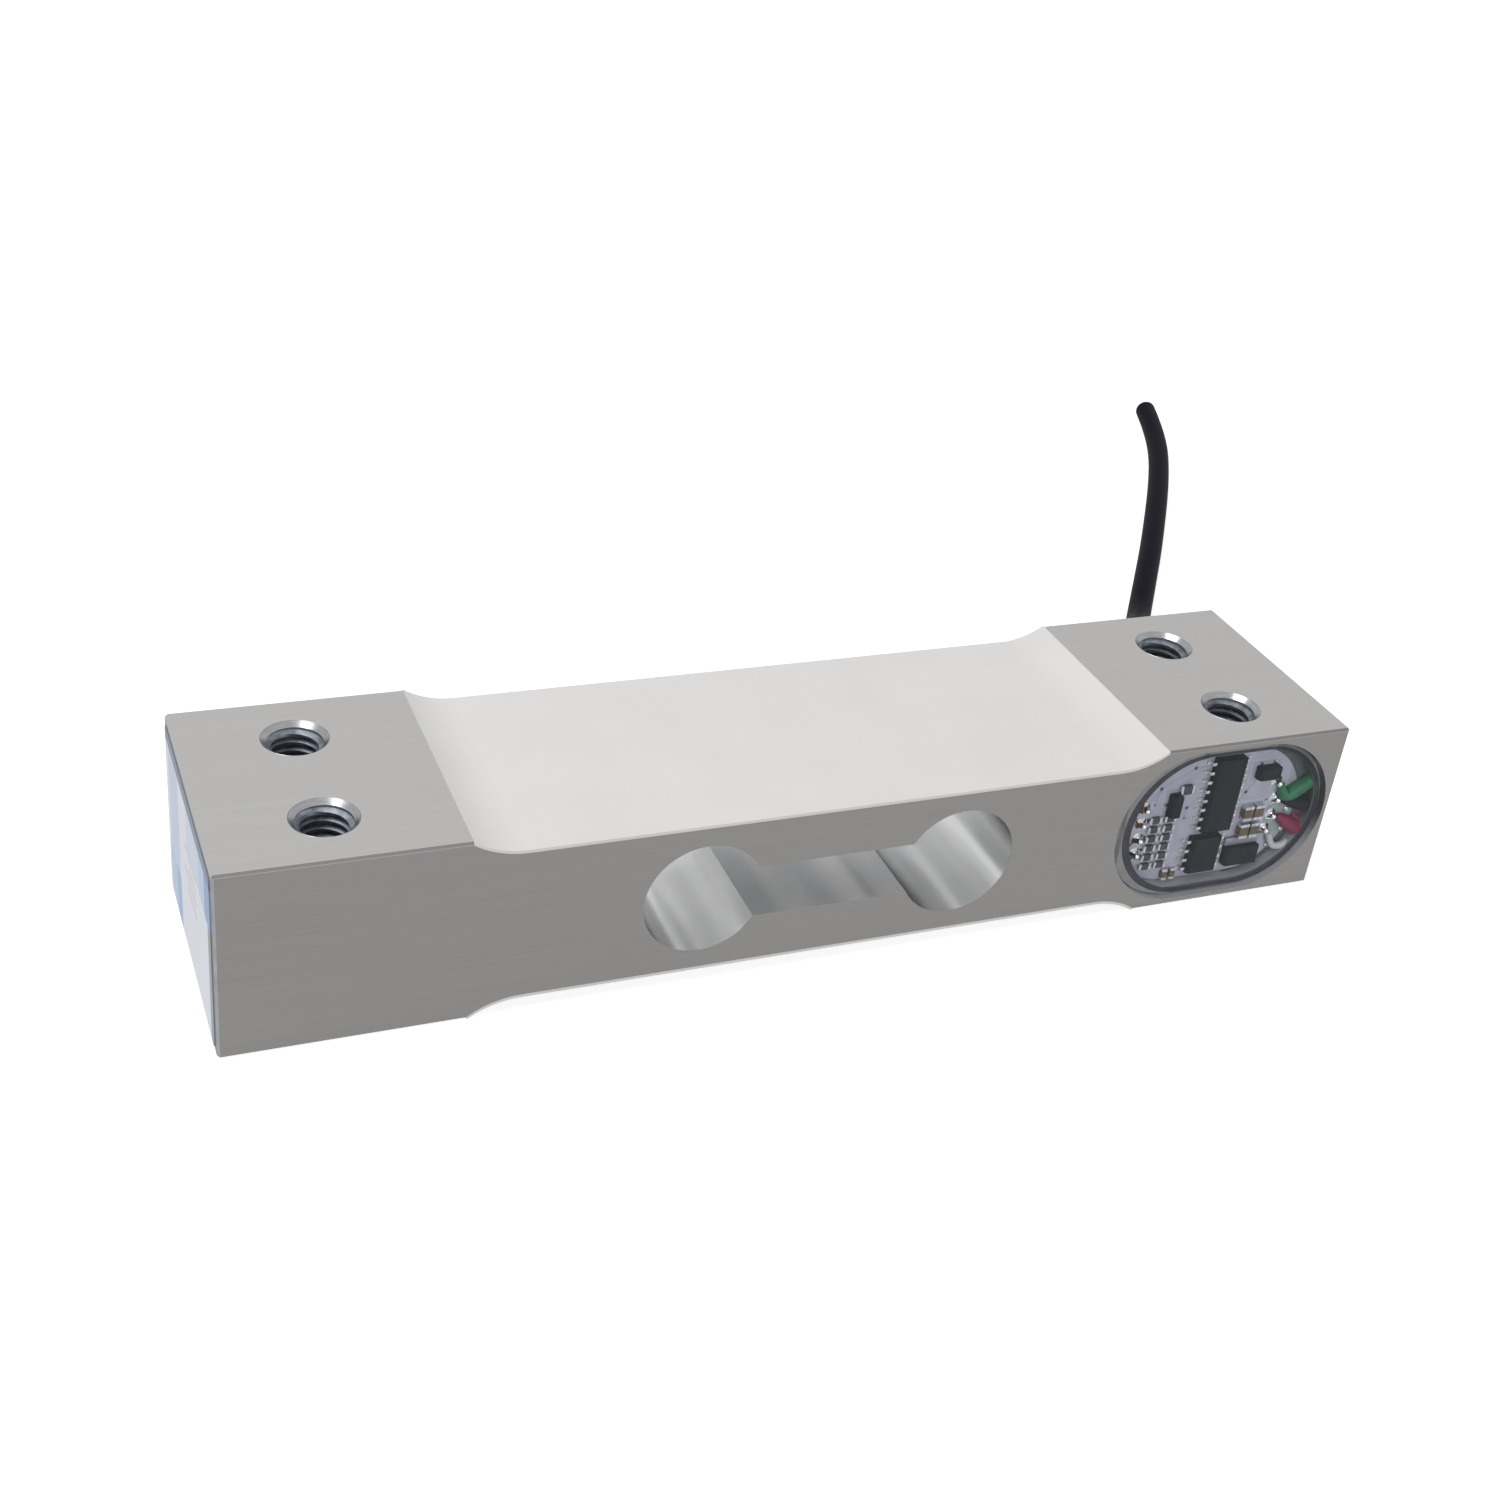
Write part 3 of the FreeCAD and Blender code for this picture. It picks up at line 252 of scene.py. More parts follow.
@dataclass(frozen=True)
class MachinedAluminium(Finish):
    """Milled and clear anodised aluminium.

    It gives the eye a soft, even grey with faint lines along the bar. The top and bottom faces
    are lighter than the sides, whose darker grey is painted shade. Painted highlights run along
    the vertical corner edges and painted shade along the long edges. Inside the dogbone the cut
    metal is brighter and streaked across. The tapped holes' walls are painted darker, as painted
    shade deep in the holes. The pocket's walls carry painted shade where they face down and
    painted light where they face up.
    """

    # The top and bottom faces take top; the darker side shades are painted shade on the sides.
    top: tuple[str, str] = ("#AEADAC", "#B2B1B0")
    side: tuple[str, str] = ("#8B8A88", "#8F8E8C")
    cut: tuple[str, str] = ("#CCCDCE", "#E8E8E8")
    # Pocket walls by facing: painted shade where they face down, painted light where they face up.
    pocket: tuple[str, str] = ("#515556", "#B4B6B9")
    # Painted shade: the tapped holes' walls, darker than the bar.
    tapped: str = "#74787D"
    # Painted shade along the long edges' small chamfers.
    edge_shade: str = "#747372"
    # Painted highlight along the vertical corner edges.
    edge_highlight: str = "#ABADAE"
    metallic: Pair = (0.5, 0.88)
    roughness: Pair = (0.5, 0.2)
    line_mm: Point = (25, 0.3, 0.3)
    streak_mm: Point = (5.5, 90, 5.5)
    # Grain of the noise that breaks up the painted edge highlight.
    highlight_grain_mm: Point = (1.2, 1.2, 2.2)
    edge_mm: float = 0.28
    hole_reach_mm: float = 3.65
    skin_mm: float = 0.005
    level_from: float = 0.7
    upward_span: Pair = (0.1, 0.5)
    streak_span: Pair = (0.33, 0.67)
    highlight_share: Pair = (0.3, 1.0)
    bump: float = 0.03
    bump_mm: float = 0.04
    dogbone_mm: Box = ((-22, -14.96, 3.8), (22, 14.96, 18.2))
    pocket_mm: Box = ((35.2, -14.97, 0.7), (64.4, -11.63, 21.3))

    def tapped_walls(self, tree: Tree) -> Link:
        """A mask of the four tapped holes' walls.

        The holes lie alike about both middle planes, so a place's distance from the nearest
        hole's axis is that of its absolute x and y from one hole.
        """
        folded = tree.add("ShaderNodeVectorMath", {0: tree.place()}, operation="ABSOLUTE")
        inputs = {0: (folded, 0), 1: (1, 1, 0)}
        flat = tree.add("ShaderNodeVectorMath", inputs, operation="MULTIPLY")
        axis = (HOLE_MM[0] * MM, HOLE_MM[1] * MM, 0)
        away = tree.add("ShaderNodeVectorMath", {0: (flat, 0), 1: axis}, operation="DISTANCE")
        near = tree.math("LESS_THAN", (away, "Value"), self.hole_reach_mm * MM)
        skin = (BAR_HALF_MM[2] - self.skin_mm) * MM
        deep = tree.math("LESS_THAN", tree.off(2, BAR_HALF_MM[2]), skin)
        return tree.math("MULTIPLY", near, deep)

    def edges(self, tree: Tree, axes: tuple[int, int]) -> Link:
        """A mask of the small chamfers where the faces across two axes meet.

        The bar's middle lies at zero in x and y, and at half its height in z.
        """
        mask = 1.0
        for axis in axes:
            half = BAR_HALF_MM[axis]
            off = tree.off(axis, half if axis == 2 else 0)
            out = tree.math("GREATER_THAN", off, (half - self.edge_mm) * MM)
            mask = tree.math("MULTIPLY", mask, out)
        return mask

    def paint(self, tree: Tree) -> None:
        """Fine lines along X on the outside, broad streaks along Y in the dogbone."""
        inside, pocket = tree.box(*self.dogbone_mm), tree.box(*self.pocket_mm)
        facing = tree.add("ShaderNodeSeparateXYZ", {0: (tree.add("ShaderNodeTexCoord"), "Normal")})
        level = tree.math("GREATER_THAN", tree.math("ABSOLUTE", (facing, 2)), self.level_from)
        lines = tree.spread(tree.noise(self.line_mm, 3), *NOISE_SPAN)
        streaks = tree.spread(tree.noise(self.streak_mm, 2), *self.streak_span)
        # Noise that breaks up the painted highlight along the vertical edges.
        highlight_strength = tree.spread(tree.noise(self.highlight_grain_mm, 3), *NOISE_SPAN, self.highlight_share)
        # Faces across Z take the top shades, the rest the darker side shades: painted shade by
        # facing.
        colour = tree.blend(level, tree.shade(lines, self.side), tree.shade(lines, self.top))
        upward = tree.spread((facing, 2), *self.upward_span)
        for mask, over in (
            # Painted highlight along the vertical corner edges.
            (tree.math("MULTIPLY", self.edges(tree, (0, 1)), highlight_strength), srgb(self.edge_highlight)),
            # Painted shade along the long edges' small chamfers.
            (self.edges(tree, (1, 2)), srgb(self.edge_shade)),
            (inside, tree.shade(streaks, self.cut)),
            # Painted shade on pocket walls that face down, painted light on those that face up.
            (pocket, tree.shade(upward, self.pocket)),
            # Painted shade on the tapped holes' walls.
            (self.tapped_walls(tree), srgb(self.tapped)),
        ):
            colour = tree.blend(mask, colour, over)
        bare = tree.spread(inside, 0, 1, self.metallic)
        tree.surface(
            {
                "Base Color": colour,
                "Metallic": tree.math("MULTIPLY", bare, tree.spread(pocket, 1, 0)),
                "Roughness": tree.spread(inside, 0, 1, self.roughness),
                "Normal": tree.bump(tree.blend(inside, lines, streaks), self.bump, self.bump_mm),
            }
        )


@dataclass(frozen=True)
class Metal(Finish):
    """A bare or plated metal with a fine uneven surface, such as tin, copper or solder.

    It gives the eye highlights that the grain softens and breaks up.
    """

    dark: str
    light: str
    grain_mm: float | Point
    roughness: float
    bump: float = 0.15

    def paint(self, tree: Tree) -> None:
        """Two shades of the metal mixed by noise, with a low bump."""
        grain = tree.noise(self.grain_mm, 2)
        share = tree.spread(grain, *NOISE_SPAN)
        tree.surface(
            {
                "Base Color": tree.shade(share, (self.dark, self.light)),
                "Metallic": 1.0,
                "Roughness": self.roughness,
                "Normal": tree.bump(grain, self.bump, GRAIN_DEPTH_MM),
            }
        )


@dataclass(frozen=True)
class GaugeFoil(Finish):
    """Etched constantan on polyimide: copper-coloured lines with amber film between."""

    film: str = "#B4762F"
    foil: str = "#C9A27C"
    line_mm: float = 0.7854

    def paint(self, tree: Tree) -> None:
        """Bands across Y: a line and a gap take up the 2 pi / 20 units of a wave's period."""
        inputs = {"Vector": tree.place(), "Scale": np.pi / 20 / (self.line_mm * MM)}
        lines = tree.add("ShaderNodeTexWave", inputs, bands_direction="Y")
        mask = tree.math("GREATER_THAN", (lines, 1), 0.5)
        tree.surface(
            {
                "Base Color": tree.shade(mask, (self.film, self.foil)),
                "Metallic": tree.spread(mask, 0, 1, (0.1, 0.9)),
                "Roughness": 0.35,
            }
        )


@dataclass(frozen=True)
class Moulded(Finish):
    """A plain insulator, moulded, cast, fired or poured, with faint unevenness.

    It gives the eye one colour that drifts a little between two shades, and a sheen broken by
    grains of a stated size.
    """

    dark: str
    light: str
    grain_mm: float | Point
    roughness: float
    specular: float = 0.5
    bump: float = 0.1
    coat: float = 0.0

    def paint(self, tree: Tree) -> None:
        """Two shades mixed by noise, and the same noise as a low bump."""
        grain = tree.noise(self.grain_mm, 3)
        share = tree.spread(grain, *NOISE_SPAN)
        tree.surface(
            {
                "Base Color": tree.shade(share, (self.dark, self.light)),
                "Roughness": self.roughness,
                "Specular IOR Level": self.specular,
                "Coat Weight": self.coat,
                "Normal": tree.bump(grain, self.bump, GRAIN_DEPTH_MM),
            }
        )


@dataclass(frozen=True)
class ClearAcrylic(Finish):
    """Moulded clear acrylic: a faint mirror of the room over what lies behind it."""

    tint: str = "#F6F6F8"
    mirror: float = 0.008

    def paint(self, tree: Tree) -> None:
        """Clear mixed with a mirror by Schlick's rule: f + (1 - f) * (1 - cos a) ^ 5."""
        away = (tree.add("ShaderNodeLayerWeight", {"Blend": 0.5}), "Facing")
        edge = tree.math("POWER", away, 5.0)
        share = tree.spread(edge, 0, 1, (self.mirror, 1.0))
        clear = tree.add("ShaderNodeBsdfTransparent", {"Color": srgb(self.tint)})
        inputs = {"Base Color": srgb("#FFFFFF"), "Metallic": 1.0, "Roughness": 0.06}
        mirror = tree.add("ShaderNodeBsdfPrincipled", inputs)
        mixed = tree.add("ShaderNodeMixShader", {0: share, 1: (clear, 0), 2: (mirror, 0)})
        tree.add("ShaderNodeOutputMaterial", {"Surface": (mixed, 0)})


@dataclass(frozen=True)
class PrintedFilm(Finish):
    """Printed polyester film: pale fields and bars on white, under a soft gloss."""

    white: str = "#E5E9F2"
    mist: str = "#D0DDEF"
    sky: str = "#C8D5EA"
    pale: str = "#BBD0EA"
    deep: str = "#9DB8D6"
    corner: str = "#8AA0CB"
    # The darker top strip is partly painted shade along the bar's top edge.
    top: str = "#707B8D"
    margin: str = "#8B9299"
    grey: str = "#CFCED3"
    x_mm: Pair = (-66, -64)
    bar_left_mm: float = -5.2
    bar_rights_mm: tuple[float, ...] = (1.8, -0.6, 2.2, 0.4)
    bar_low_mm: float = 14.2
    bar_height_mm: float = 0.6
    bar_pitch_mm: float = 1.5

    def bars(self) -> list[tuple[Pair, Pair, str]]:
        """The grey bars, one under the other: low and high corners in y and z, and colour."""
        lows = [self.bar_low_mm - self.bar_pitch_mm * row for row in range(len(self.bar_rights_mm))]
        return [
            ((self.bar_left_mm, low), (right, low + self.bar_height_mm), self.grey)
            for low, right in zip(lows, self.bar_rights_mm)
        ]

    def paint(self, tree: Tree) -> None:
        """Fields of pale blues round white, a darker top edge that is partly painted shade, and
        fine grey bars in the middle.
        """
        fields = (
            ((-7.6, 14.8), (0.5, 21), self.mist),
            ((5.9, 7.2), (12.3, 21), self.sky),
            ((9.0, 0.5), (13.3, 7.2), self.pale),
            ((5.9, 0.5), (9.0, 7.2), self.deep),
            ((-11.0, 14.8), (-7.6, 21), self.pale),
            ((-14.5, 14.8), (-11.0, 21), self.corner),
            ((-14.5, 0.5), (-12.6, 14.8), self.margin),
            # The darker top strip, partly painted shade along the bar's top edge.
            ((-14.5, 19.8), (14.5, 21.5), self.top),
        )
        colour = srgb(self.white)
        for low, high, code in (*fields, *self.bars()):
            mask = tree.box((self.x_mm[0], *low), (self.x_mm[1], *high))
            colour = tree.blend(mask, colour, srgb(code))
        tree.surface({"Base Color": colour, "Roughness": 0.4, "Specular IOR Level": 0.25})


# Soft grey, faintly lined, with painted shade and painted highlights on its faces and edges.
BAR = MachinedAluminium("milled and anodised aluminium")
# Dull grey crests over dark roots, both shades darkened as painted shade deep in the holes.
THREAD = Metal("tapped aluminium", "#5E636B", "#8A8F98", (0.9, 0.9, 0.35), 0.5, 0.1)
# A turned cone that mirrors the lamp in one bright patch.
MOUTH = Metal("countersunk aluminium", "#8F9193", "#A1A2A4", (1.5, 1.5, 0.2), 0.24, 0.05)
# Matt off-white with hardly a feature.
SEAL = Moulded("pale sealing compound, poured", "#DAD9D7", "#DEDDDB", 9, 0.45, 0.3, 0.04)
# Fine copper lines on amber film.
FOIL = GaugeFoil("etched constantan foil on polyimide")
# Reddish metal, softly bright.
TERMINAL = Metal("etched copper", "#A9683F", "#C98A5E", 0.5, 0.3)
# Dark red-brown lacquer over copper.
ENAMEL = Metal("enamelled copper wire", "#5E4238", "#7C5A4A", 0.3, 0.4)
# Cool pale grey with a slight sheen.
MASK = Moulded("pale solder mask on glass epoxy", "#BFC1CF", "#CED0DD", 1.6, 0.4, 0.4)
# Flat dark grey.
BED = Moulded("cured board adhesive", "#505257", "#5E6064", 1.5, 0.5)
# Blue-black, matt and finely grained.
EPOXY = Moulded("moulded epoxy package", "#141C20", "#1E272B", 0.35, 0.5, 0.15, 0.2)
# Bright grey with soft highlights.
TIN = Metal("tinned lead", "#B2B4B6", "#DADBDC", 0.5, 0.22)
# Pale grey, wet-looking under its flux.
PALE_TIN = Moulded("reflowed tin with flux", "#B9C2BC", "#D3D9D3", 0.5, 0.35, 0.5, 0.3, 0.3)
# Dull mid grey.
TAB = Metal("blasted tin on a copper tab", "#8C8D92", "#A2A3A8", 0.4, 0.5, 0.1)
# Blue-black glaze with a small highlight.
RESISTOR = Moulded("glazed thick film resistor", "#2C3138", "#41464E", 0.5, 0.25, 0.4, 0.1, 0.2)
# Matt brown.
CERAMIC = Moulded("fired ceramic capacitor", "#5A5240", "#766B52", 0.4, 0.5)
# A shade bluer than the board round it.
TRACK = Moulded("copper track under solder mask", "#B4BACB", "#BCC2D2", 0.8, 0.4, 0.4)
# Cloudy pale grey.
POTTING = Moulded("pale potting compound", "#B6B8C2", "#C2C4CD", 2.2, 0.4, 0.3)
# Flat green-grey: a dark ring of painted shade in the gap round the board.
GAP_SHADE = Moulded("dark filler round the wires", "#596262", "#676F6F", 1.5, 0.5, 0.2)
# Thin, pale green and glossy.
FLUX = Moulded("dried flux", "#93ABA0", "#AEC1B7", 0.8, 0.3, 0.4, 0.2, 0.3)
# Small dark grey dots.
VIA = Metal("tinned via", "#4A4D58", "#6A6E7A", 0.2, 0.35)
# Flat white ink.
PRINT = Moulded("screen-printed component outline", "#D3D6DC", "#DEE1E6", 0.5, 0.6)
# Nearly a mirror, with round highlights.
SOLDER = Metal("bright solder", "#C4C6C8", "#E8E9EA", 0.35, 0.14)
# A matt dark grey line.
GASKET = Moulded("dark seal compound", "#484B50", "#56595D", 1.4, 0.45, 0.15)
# Milky grey, from the metal behind it.
TAPE = Moulded("clear bonding tape over aluminium", "#9B9B9B", "#A8A8A7", 1, 0.4, 0.3)
# Hardly seen, but for a faint mirror at a low angle.
ACRYLIC = ClearAcrylic("clear acrylic")
# Four smooth plastics, each one colour with a soft highlight.
GREEN = Moulded("green wire insulation", "#22704A", "#2F8459", 1.2, 0.35, 0.3)
BLACK = Moulded("black wire insulation", "#0C1113", "#14191B", 1.2, 0.42, 0.15)
RED = Moulded("red wire insulation", "#842444", "#9A3050", 1.2, 0.35, 0.3)
WHITE = Moulded("white wire insulation", "#D2D9D7", "#E2E8E6", 1.2, 0.35, 0.3)
# Black, dry and matt.
RUBBER = Moulded("moulded rubber grommet", "#1A1B1F", "#212327", 0.6, 0.6, 0.06, 0.2)
# Blue-black and smooth, with hardly a highlight.
JACKET = Moulded("extruded cable jacket", "#060610", "#0B0B18", 0.9, 0.5, 0.023, 0.15)
# Pale blues on white under a soft gloss.
LABEL = PrintedFilm("printed polyester film")
INSULATION = {Slot.GREEN: GREEN, Slot.BLACK: BLACK, Slot.RED: RED, Slot.WHITE: WHITE}


# Meshes


def put(name: str, data: bpy.types.ID) -> Object:
    """Adds an object with its data to the scene."""
    made = bpy.data.objects.new(name, data)
    bpy.context.scene.collection.objects.link(made)
    return made


def round_angles(steps: int) -> np.ndarray:
    """Even angles round a circle."""
    return np.linspace(0, 2 * np.pi, steps, endpoint=False)


def closed_tubes(name: str, stack: np.ndarray, looped: bool = False) -> Object:
    """Makes one mesh of closed tubes.

    Each tube is a grid whose columns join round. Its first and last rows are closed by flat caps,
    or joined to each other in a ring. A row's area vector is half the sum of the cross products
    of its neighbouring points. A tube is turned outwards where its area vectors point against
    the way its rows run.

    Args:
        name: The object's name.
        stack: Tubes by rows by columns by 3, in metres.
        looped: Whether the last row joins the first.

    Returns:
        The object, at the origin, smooth but for edges over 35 degrees.
    """
    tubes, rows, columns = stack.shape[:3]
    centres = stack.mean(axis=2, keepdims=True)
    arms = stack - centres
    areas = np.cross(arms, np.roll(arms, -1, axis=2)).sum(axis=2)[:, :-1]
    runs = np.diff(centres[:, :, 0], axis=1)
    inward = (areas * runs).sum(axis=(1, 2)) < 0
    index = np.arange(tubes * rows * columns).reshape(tubes, rows, columns)
    index[inward] = index[inward][:, :, ::-1]
    after = np.roll(index, -1, axis=2)
    if looped:
        index, after = (np.concatenate([grid, grid[:, :1]], axis=1) for grid in (index, after))
    quads = np.stack([index[:, :-1], after[:, :-1], after[:, 1:], index[:, 1:]], axis=-1)
    caps = [] if looped else [*index[:, 0, ::-1].tolist(), *index[:, -1].tolist()]
    mesh = bpy.data.meshes.new(name)
    mesh.from_pydata(stack.reshape(-1, 3).tolist(), [], quads.reshape(-1, 4).tolist() + caps)
    mesh.shade_smooth()
    mesh.set_sharp_from_angle(angle=np.radians(35))
    return put(name, mesh)


def rounded_outline(sizes: np.ndarray, corner: float, steps: int) -> np.ndarray:
    """Outlines of rectangles with rounded corners.

    A point lies at s * (half size - r) + r * (cos a, sin a), where s is the corner's signs, r the
    corner's radius and a runs over the corner's quarter circle.

    Args:
        sizes: Rectangles by 2, in millimetres.
        corner: The corners' radius.
        steps: Points on each corner.

    Returns:
        Rectangles by points by 2.
    """
    quarters = np.arange(4)[:, None] * np.pi / 2
    angle = (quarters + np.linspace(0, np.pi / 2, steps)).ravel()
    middle = quarters + np.pi / 4
    signs = np.sign(np.concatenate([np.cos(middle), np.sin(middle)], axis=1))
    signs = np.repeat(signs, steps, axis=0)
    circle = np.stack([np.cos(angle), np.sin(angle)], axis=1)
    return signs * (sizes[:, None] / 2 - corner) + corner * circle


def board_slabs(
    name: str,
    places: Pairs,
    sizes: Pairs,
    height: float,
    corner: float = 0.08,
    turns: np.ndarray | None = None,
    foot: float = -0.02,
    steps: int = 4,
) -> Object:
    """Low blocks that stand on the board, with rounded corners and a bevelled upper edge.

    Each block has three rings: its foot, its shoulder and its top, set in by the bevel. The bevel
    is a quarter of the block's height, or 0.6 of the corners' radius where that is less.

    Args:
        name: The object's name.
        places: Each block's middle, in x and z, in millimetres.
        sizes: Each block's size in x and z, or one size for all.
        height: The blocks' height over the board.
        corner: The corners' radius.
        turns: Each block's turn about Y, in radians.
        foot: The height at which the blocks start.
        steps: Points on each corner.

    Returns:
        The object.
    """
    middles = np.array(places)
    extents = np.broadcast_to(np.array(sizes, dtype=float), middles.shape)
    bevel = min(0.25 * (height - foot), 0.6 * corner)
    shoulder, top = ((extents, corner), (extents - 2 * bevel, corner - bevel / 2))
    rings = [rounded_outline(size, radius, steps) for size, radius in (shoulder, shoulder, top)]
    flat = np.stack(rings, axis=1)
    angle = np.zeros(len(middles)) if turns is None else turns
    cos, sin = np.cos(angle)[:, None, None], np.sin(angle)[:, None, None]
    x = flat[..., 0] * cos - flat[..., 1] * sin + middles[:, 0, None, None]
    z = flat[..., 0] * sin + flat[..., 1] * cos + middles[:, 1, None, None]
    levels = np.array([foot, height - bevel, height])[None, :, None]
    y = np.broadcast_to(BOARD_FACE_MM - levels, x.shape)
    return closed_tubes(name, np.stack([x, y, z], axis=-1) * MM)


def flat_ring(name: str, outer: Outline, inner: Outline, front: float, back: float) -> Object:
    """A flat ring between two round-ended outlines: a four-cornered section carried round.

    Args:
        name: The object's name.
        outer: The outer outline's middle and size, in x and z, in millimetres.
        inner: The inner outline's middle and size.
        front: The front face's y.
        back: The back face's y.

    Returns:
        The object.
    """
    rims = [
        rounded_outline(np.array([size]), min(size) / 2, RING_STEPS)[0] + middle
        for middle, size in (outer, inner)
    ]
    corners = [(rims[0], front), (rims[1], front), (rims[1], back), (rims[0], back)]
    section = [np.insert(rim, 1, y, axis=1) for rim, y in corners]
    return closed_tubes(name, np.stack(section, axis=1)[None] * MM, True)


def smooth_line(name: str, points: tuple[Knot, ...]) -> Object:
    """A round line along a spline, as thick at each point as that point says.

    Args:
        name: The object's name.
        points: Its control points' x, y, z and radius, in millimetres.

    Returns:
        The object.
    """
    curve = bpy.data.curves.new(name, "CURVE")
    curve.dimensions = "3D"
    curve.bevel_depth = MM
    curve.bevel_resolution = 8
    curve.resolution_u = 16
    curve.use_fill_caps = True
    spline = curve.splines.new("NURBS")
    spline.points.add(len(points) - 1)
    for point, (x, y, z, radius) in zip(spline.points, points):
        point.co = (x * MM, y * MM, z * MM, 1)
        point.radius = radius
    spline.order_u = 3
    spline.use_endpoint_u = True
    return put(name, curve)


def dress(nodes: Nodes, finish: Finish, *names: str) -> None:
    """Gives CAD nodes a finish.

    Args:
        nodes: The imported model's objects by name.
        finish: The finish.
        names: The names of the nodes that take it.
    """
    for name in names:
        nodes[name].data.materials.clear()
        nodes[name].data.materials.append(finish.material())
        LOG.info("dressed %s as %s", name, finish.name)


def add_piece(piece: Object, finish: Finish) -> Object:
    """Finishes a new piece and lets it ride on the bar.

    Args:
        piece: The new object.
        finish: Its finish.

    Returns:
        The same object.
    """
    piece.data.materials.append(finish.material())
    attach(piece, BODY)
    LOG.info("made %s", piece.name)
    return piece


# Sub-assemblies


@dataclass
class MachinedBar:
    """The bar with its four M6 threads, which stand in from the bores' walls."""

    radius_mm: float = 3.0
    minor_radius_mm: float = 2.46
    pitch_mm: float = 1.0
    chamfer_mm: float = 0.55
    sink_mm: float = 0.02
    lining_mm: float = 0.06
    steps: int = 44
    mouth_steps: int = 72

    def ridge(self, name: str, x_mm: float, y_mm: float) -> Object:
        """One ridge: a thread's section carried up a helix and cut by both chamfers' cones.

        At turn angle a the section stands at height z = pitch * a / 2 pi. Its radius falls from
        the wall to the minor radius and back in six straight steps. Near an end the radius is at
        least that of a 45 degree cone through the chamfer's inner edge.
        """
        low, high = self.chamfer_mm, 2 * BAR_HALF_MM[2] - self.chamfer_mm
        turns = (high - low) / self.pitch_mm
        angle = np.linspace(0, 2 * np.pi * turns, int(self.steps * turns))[:, None]
        share = np.array([0, 0.5, 1, 1, 0.5, 0])
        rise = np.array([-0.44, -0.3, -0.15, 0.15, 0.3, 0.44]) * self.pitch_mm
        z = np.clip(low + self.pitch_mm * angle / (2 * np.pi) + rise, low, high)
        cone = self.radius_mm - np.minimum(z - low, high - z)
        wall = self.radius_mm + self.sink_mm
        section = wall - share * (wall - self.minor_radius_mm)
        radius = np.maximum(section, np.minimum(cone, self.radius_mm))
        radius[:, [0, -1]] = wall
        x = x_mm + radius * np.cos(angle)
        y = y_mm + radius * np.sin(angle)
        return closed_tubes(name, np.stack([x, y, z], axis=-1)[None] * MM)

    def mouths(self, places: list[Pair]) -> Object:
        """Turned linings of the holes' chamfers: a thin sloping section carried round each axis."""
        out = self.radius_mm + self.chamfer_mm
        inner, deep, lining = self.radius_mm, self.chamfer_mm, self.lining_mm
        radius = np.array([out - lining, inner - lining, inner, out])
        depth = np.array([0, deep, deep + lining, lining])
        angle = round_angles(self.mouth_steps)[None, :, None]
        middles = np.repeat(np.array(places), 2, axis=0)[:, :, None, None]
        rims = np.tile([2 * BAR_HALF_MM[2], 0], len(places))[:, None, None]
        inwards = np.tile([-1.0, 1.0], len(places))[:, None, None]
        x = middles[:, 0] + radius * np.cos(angle)
        y = middles[:, 1] + radius * np.sin(angle)
        z = np.broadcast_to(rims + inwards * depth, x.shape)
        return closed_tubes("hole_mouths", np.stack([x, y, z], axis=-1) * MM, True)

    def build(self, nodes: Nodes) -> None:
        """Dresses the bar, cuts the four threads and turns their mouths."""
        dress(nodes, BAR, "sensor_body")
        places = {
            f"thread_{end}_{side}": (x_mm, y_mm)
            for end, x_mm in (("load", -HOLE_MM[0]), ("fixed", HOLE_MM[0]))
            for side, y_mm in (("front", -HOLE_MM[1]), ("back", HOLE_MM[1]))
        }
        for name, (x_mm, y_mm) in places.items():
            add_piece(self.ridge(name, x_mm, y_mm), THREAD)
        add_piece(self.mouths(list(places.values())), MOUTH)


class GaugeSet:
    """The gauges, terminals and fine wires above and below the dogbone, under their seal coats."""

    def build(self, nodes: Nodes) -> None:
        """Dresses both sets."""
        for side in ("top", "bottom"):
            dress(nodes, SEAL, f"{side}_seal_coat")
            dress(nodes, FOIL, f"{side}_load_gauge", f"{side}_fixed_gauge")
            dress(nodes, TERMINAL, f"{side}_terminal_strip")
            dress(nodes, ENAMEL, f"{side}_gauge_wires")


@dataclass(frozen=True)
class Blocks:
    """Like blocks that stand on the board: their middles, size and height, and their finish."""

    name: str
    places_mm: tuple[Pair, ...]
    size_mm: Pair
    height_mm: float
    finish: Finish
    slot: Slot
    corner_mm: float = 0.08
    foot_mm: float = -0.02
    steps: int = 4

    def build(self) -> None:
        """Makes the blocks as one piece."""
        sizes, corner = [self.size_mm], self.corner_mm
        where = {"foot": self.foot_mm, "steps": self.steps}
        piece = board_slabs(self.name, self.places_mm, sizes, self.height_mm, corner, **where)
        add_piece(piece, self.finish)


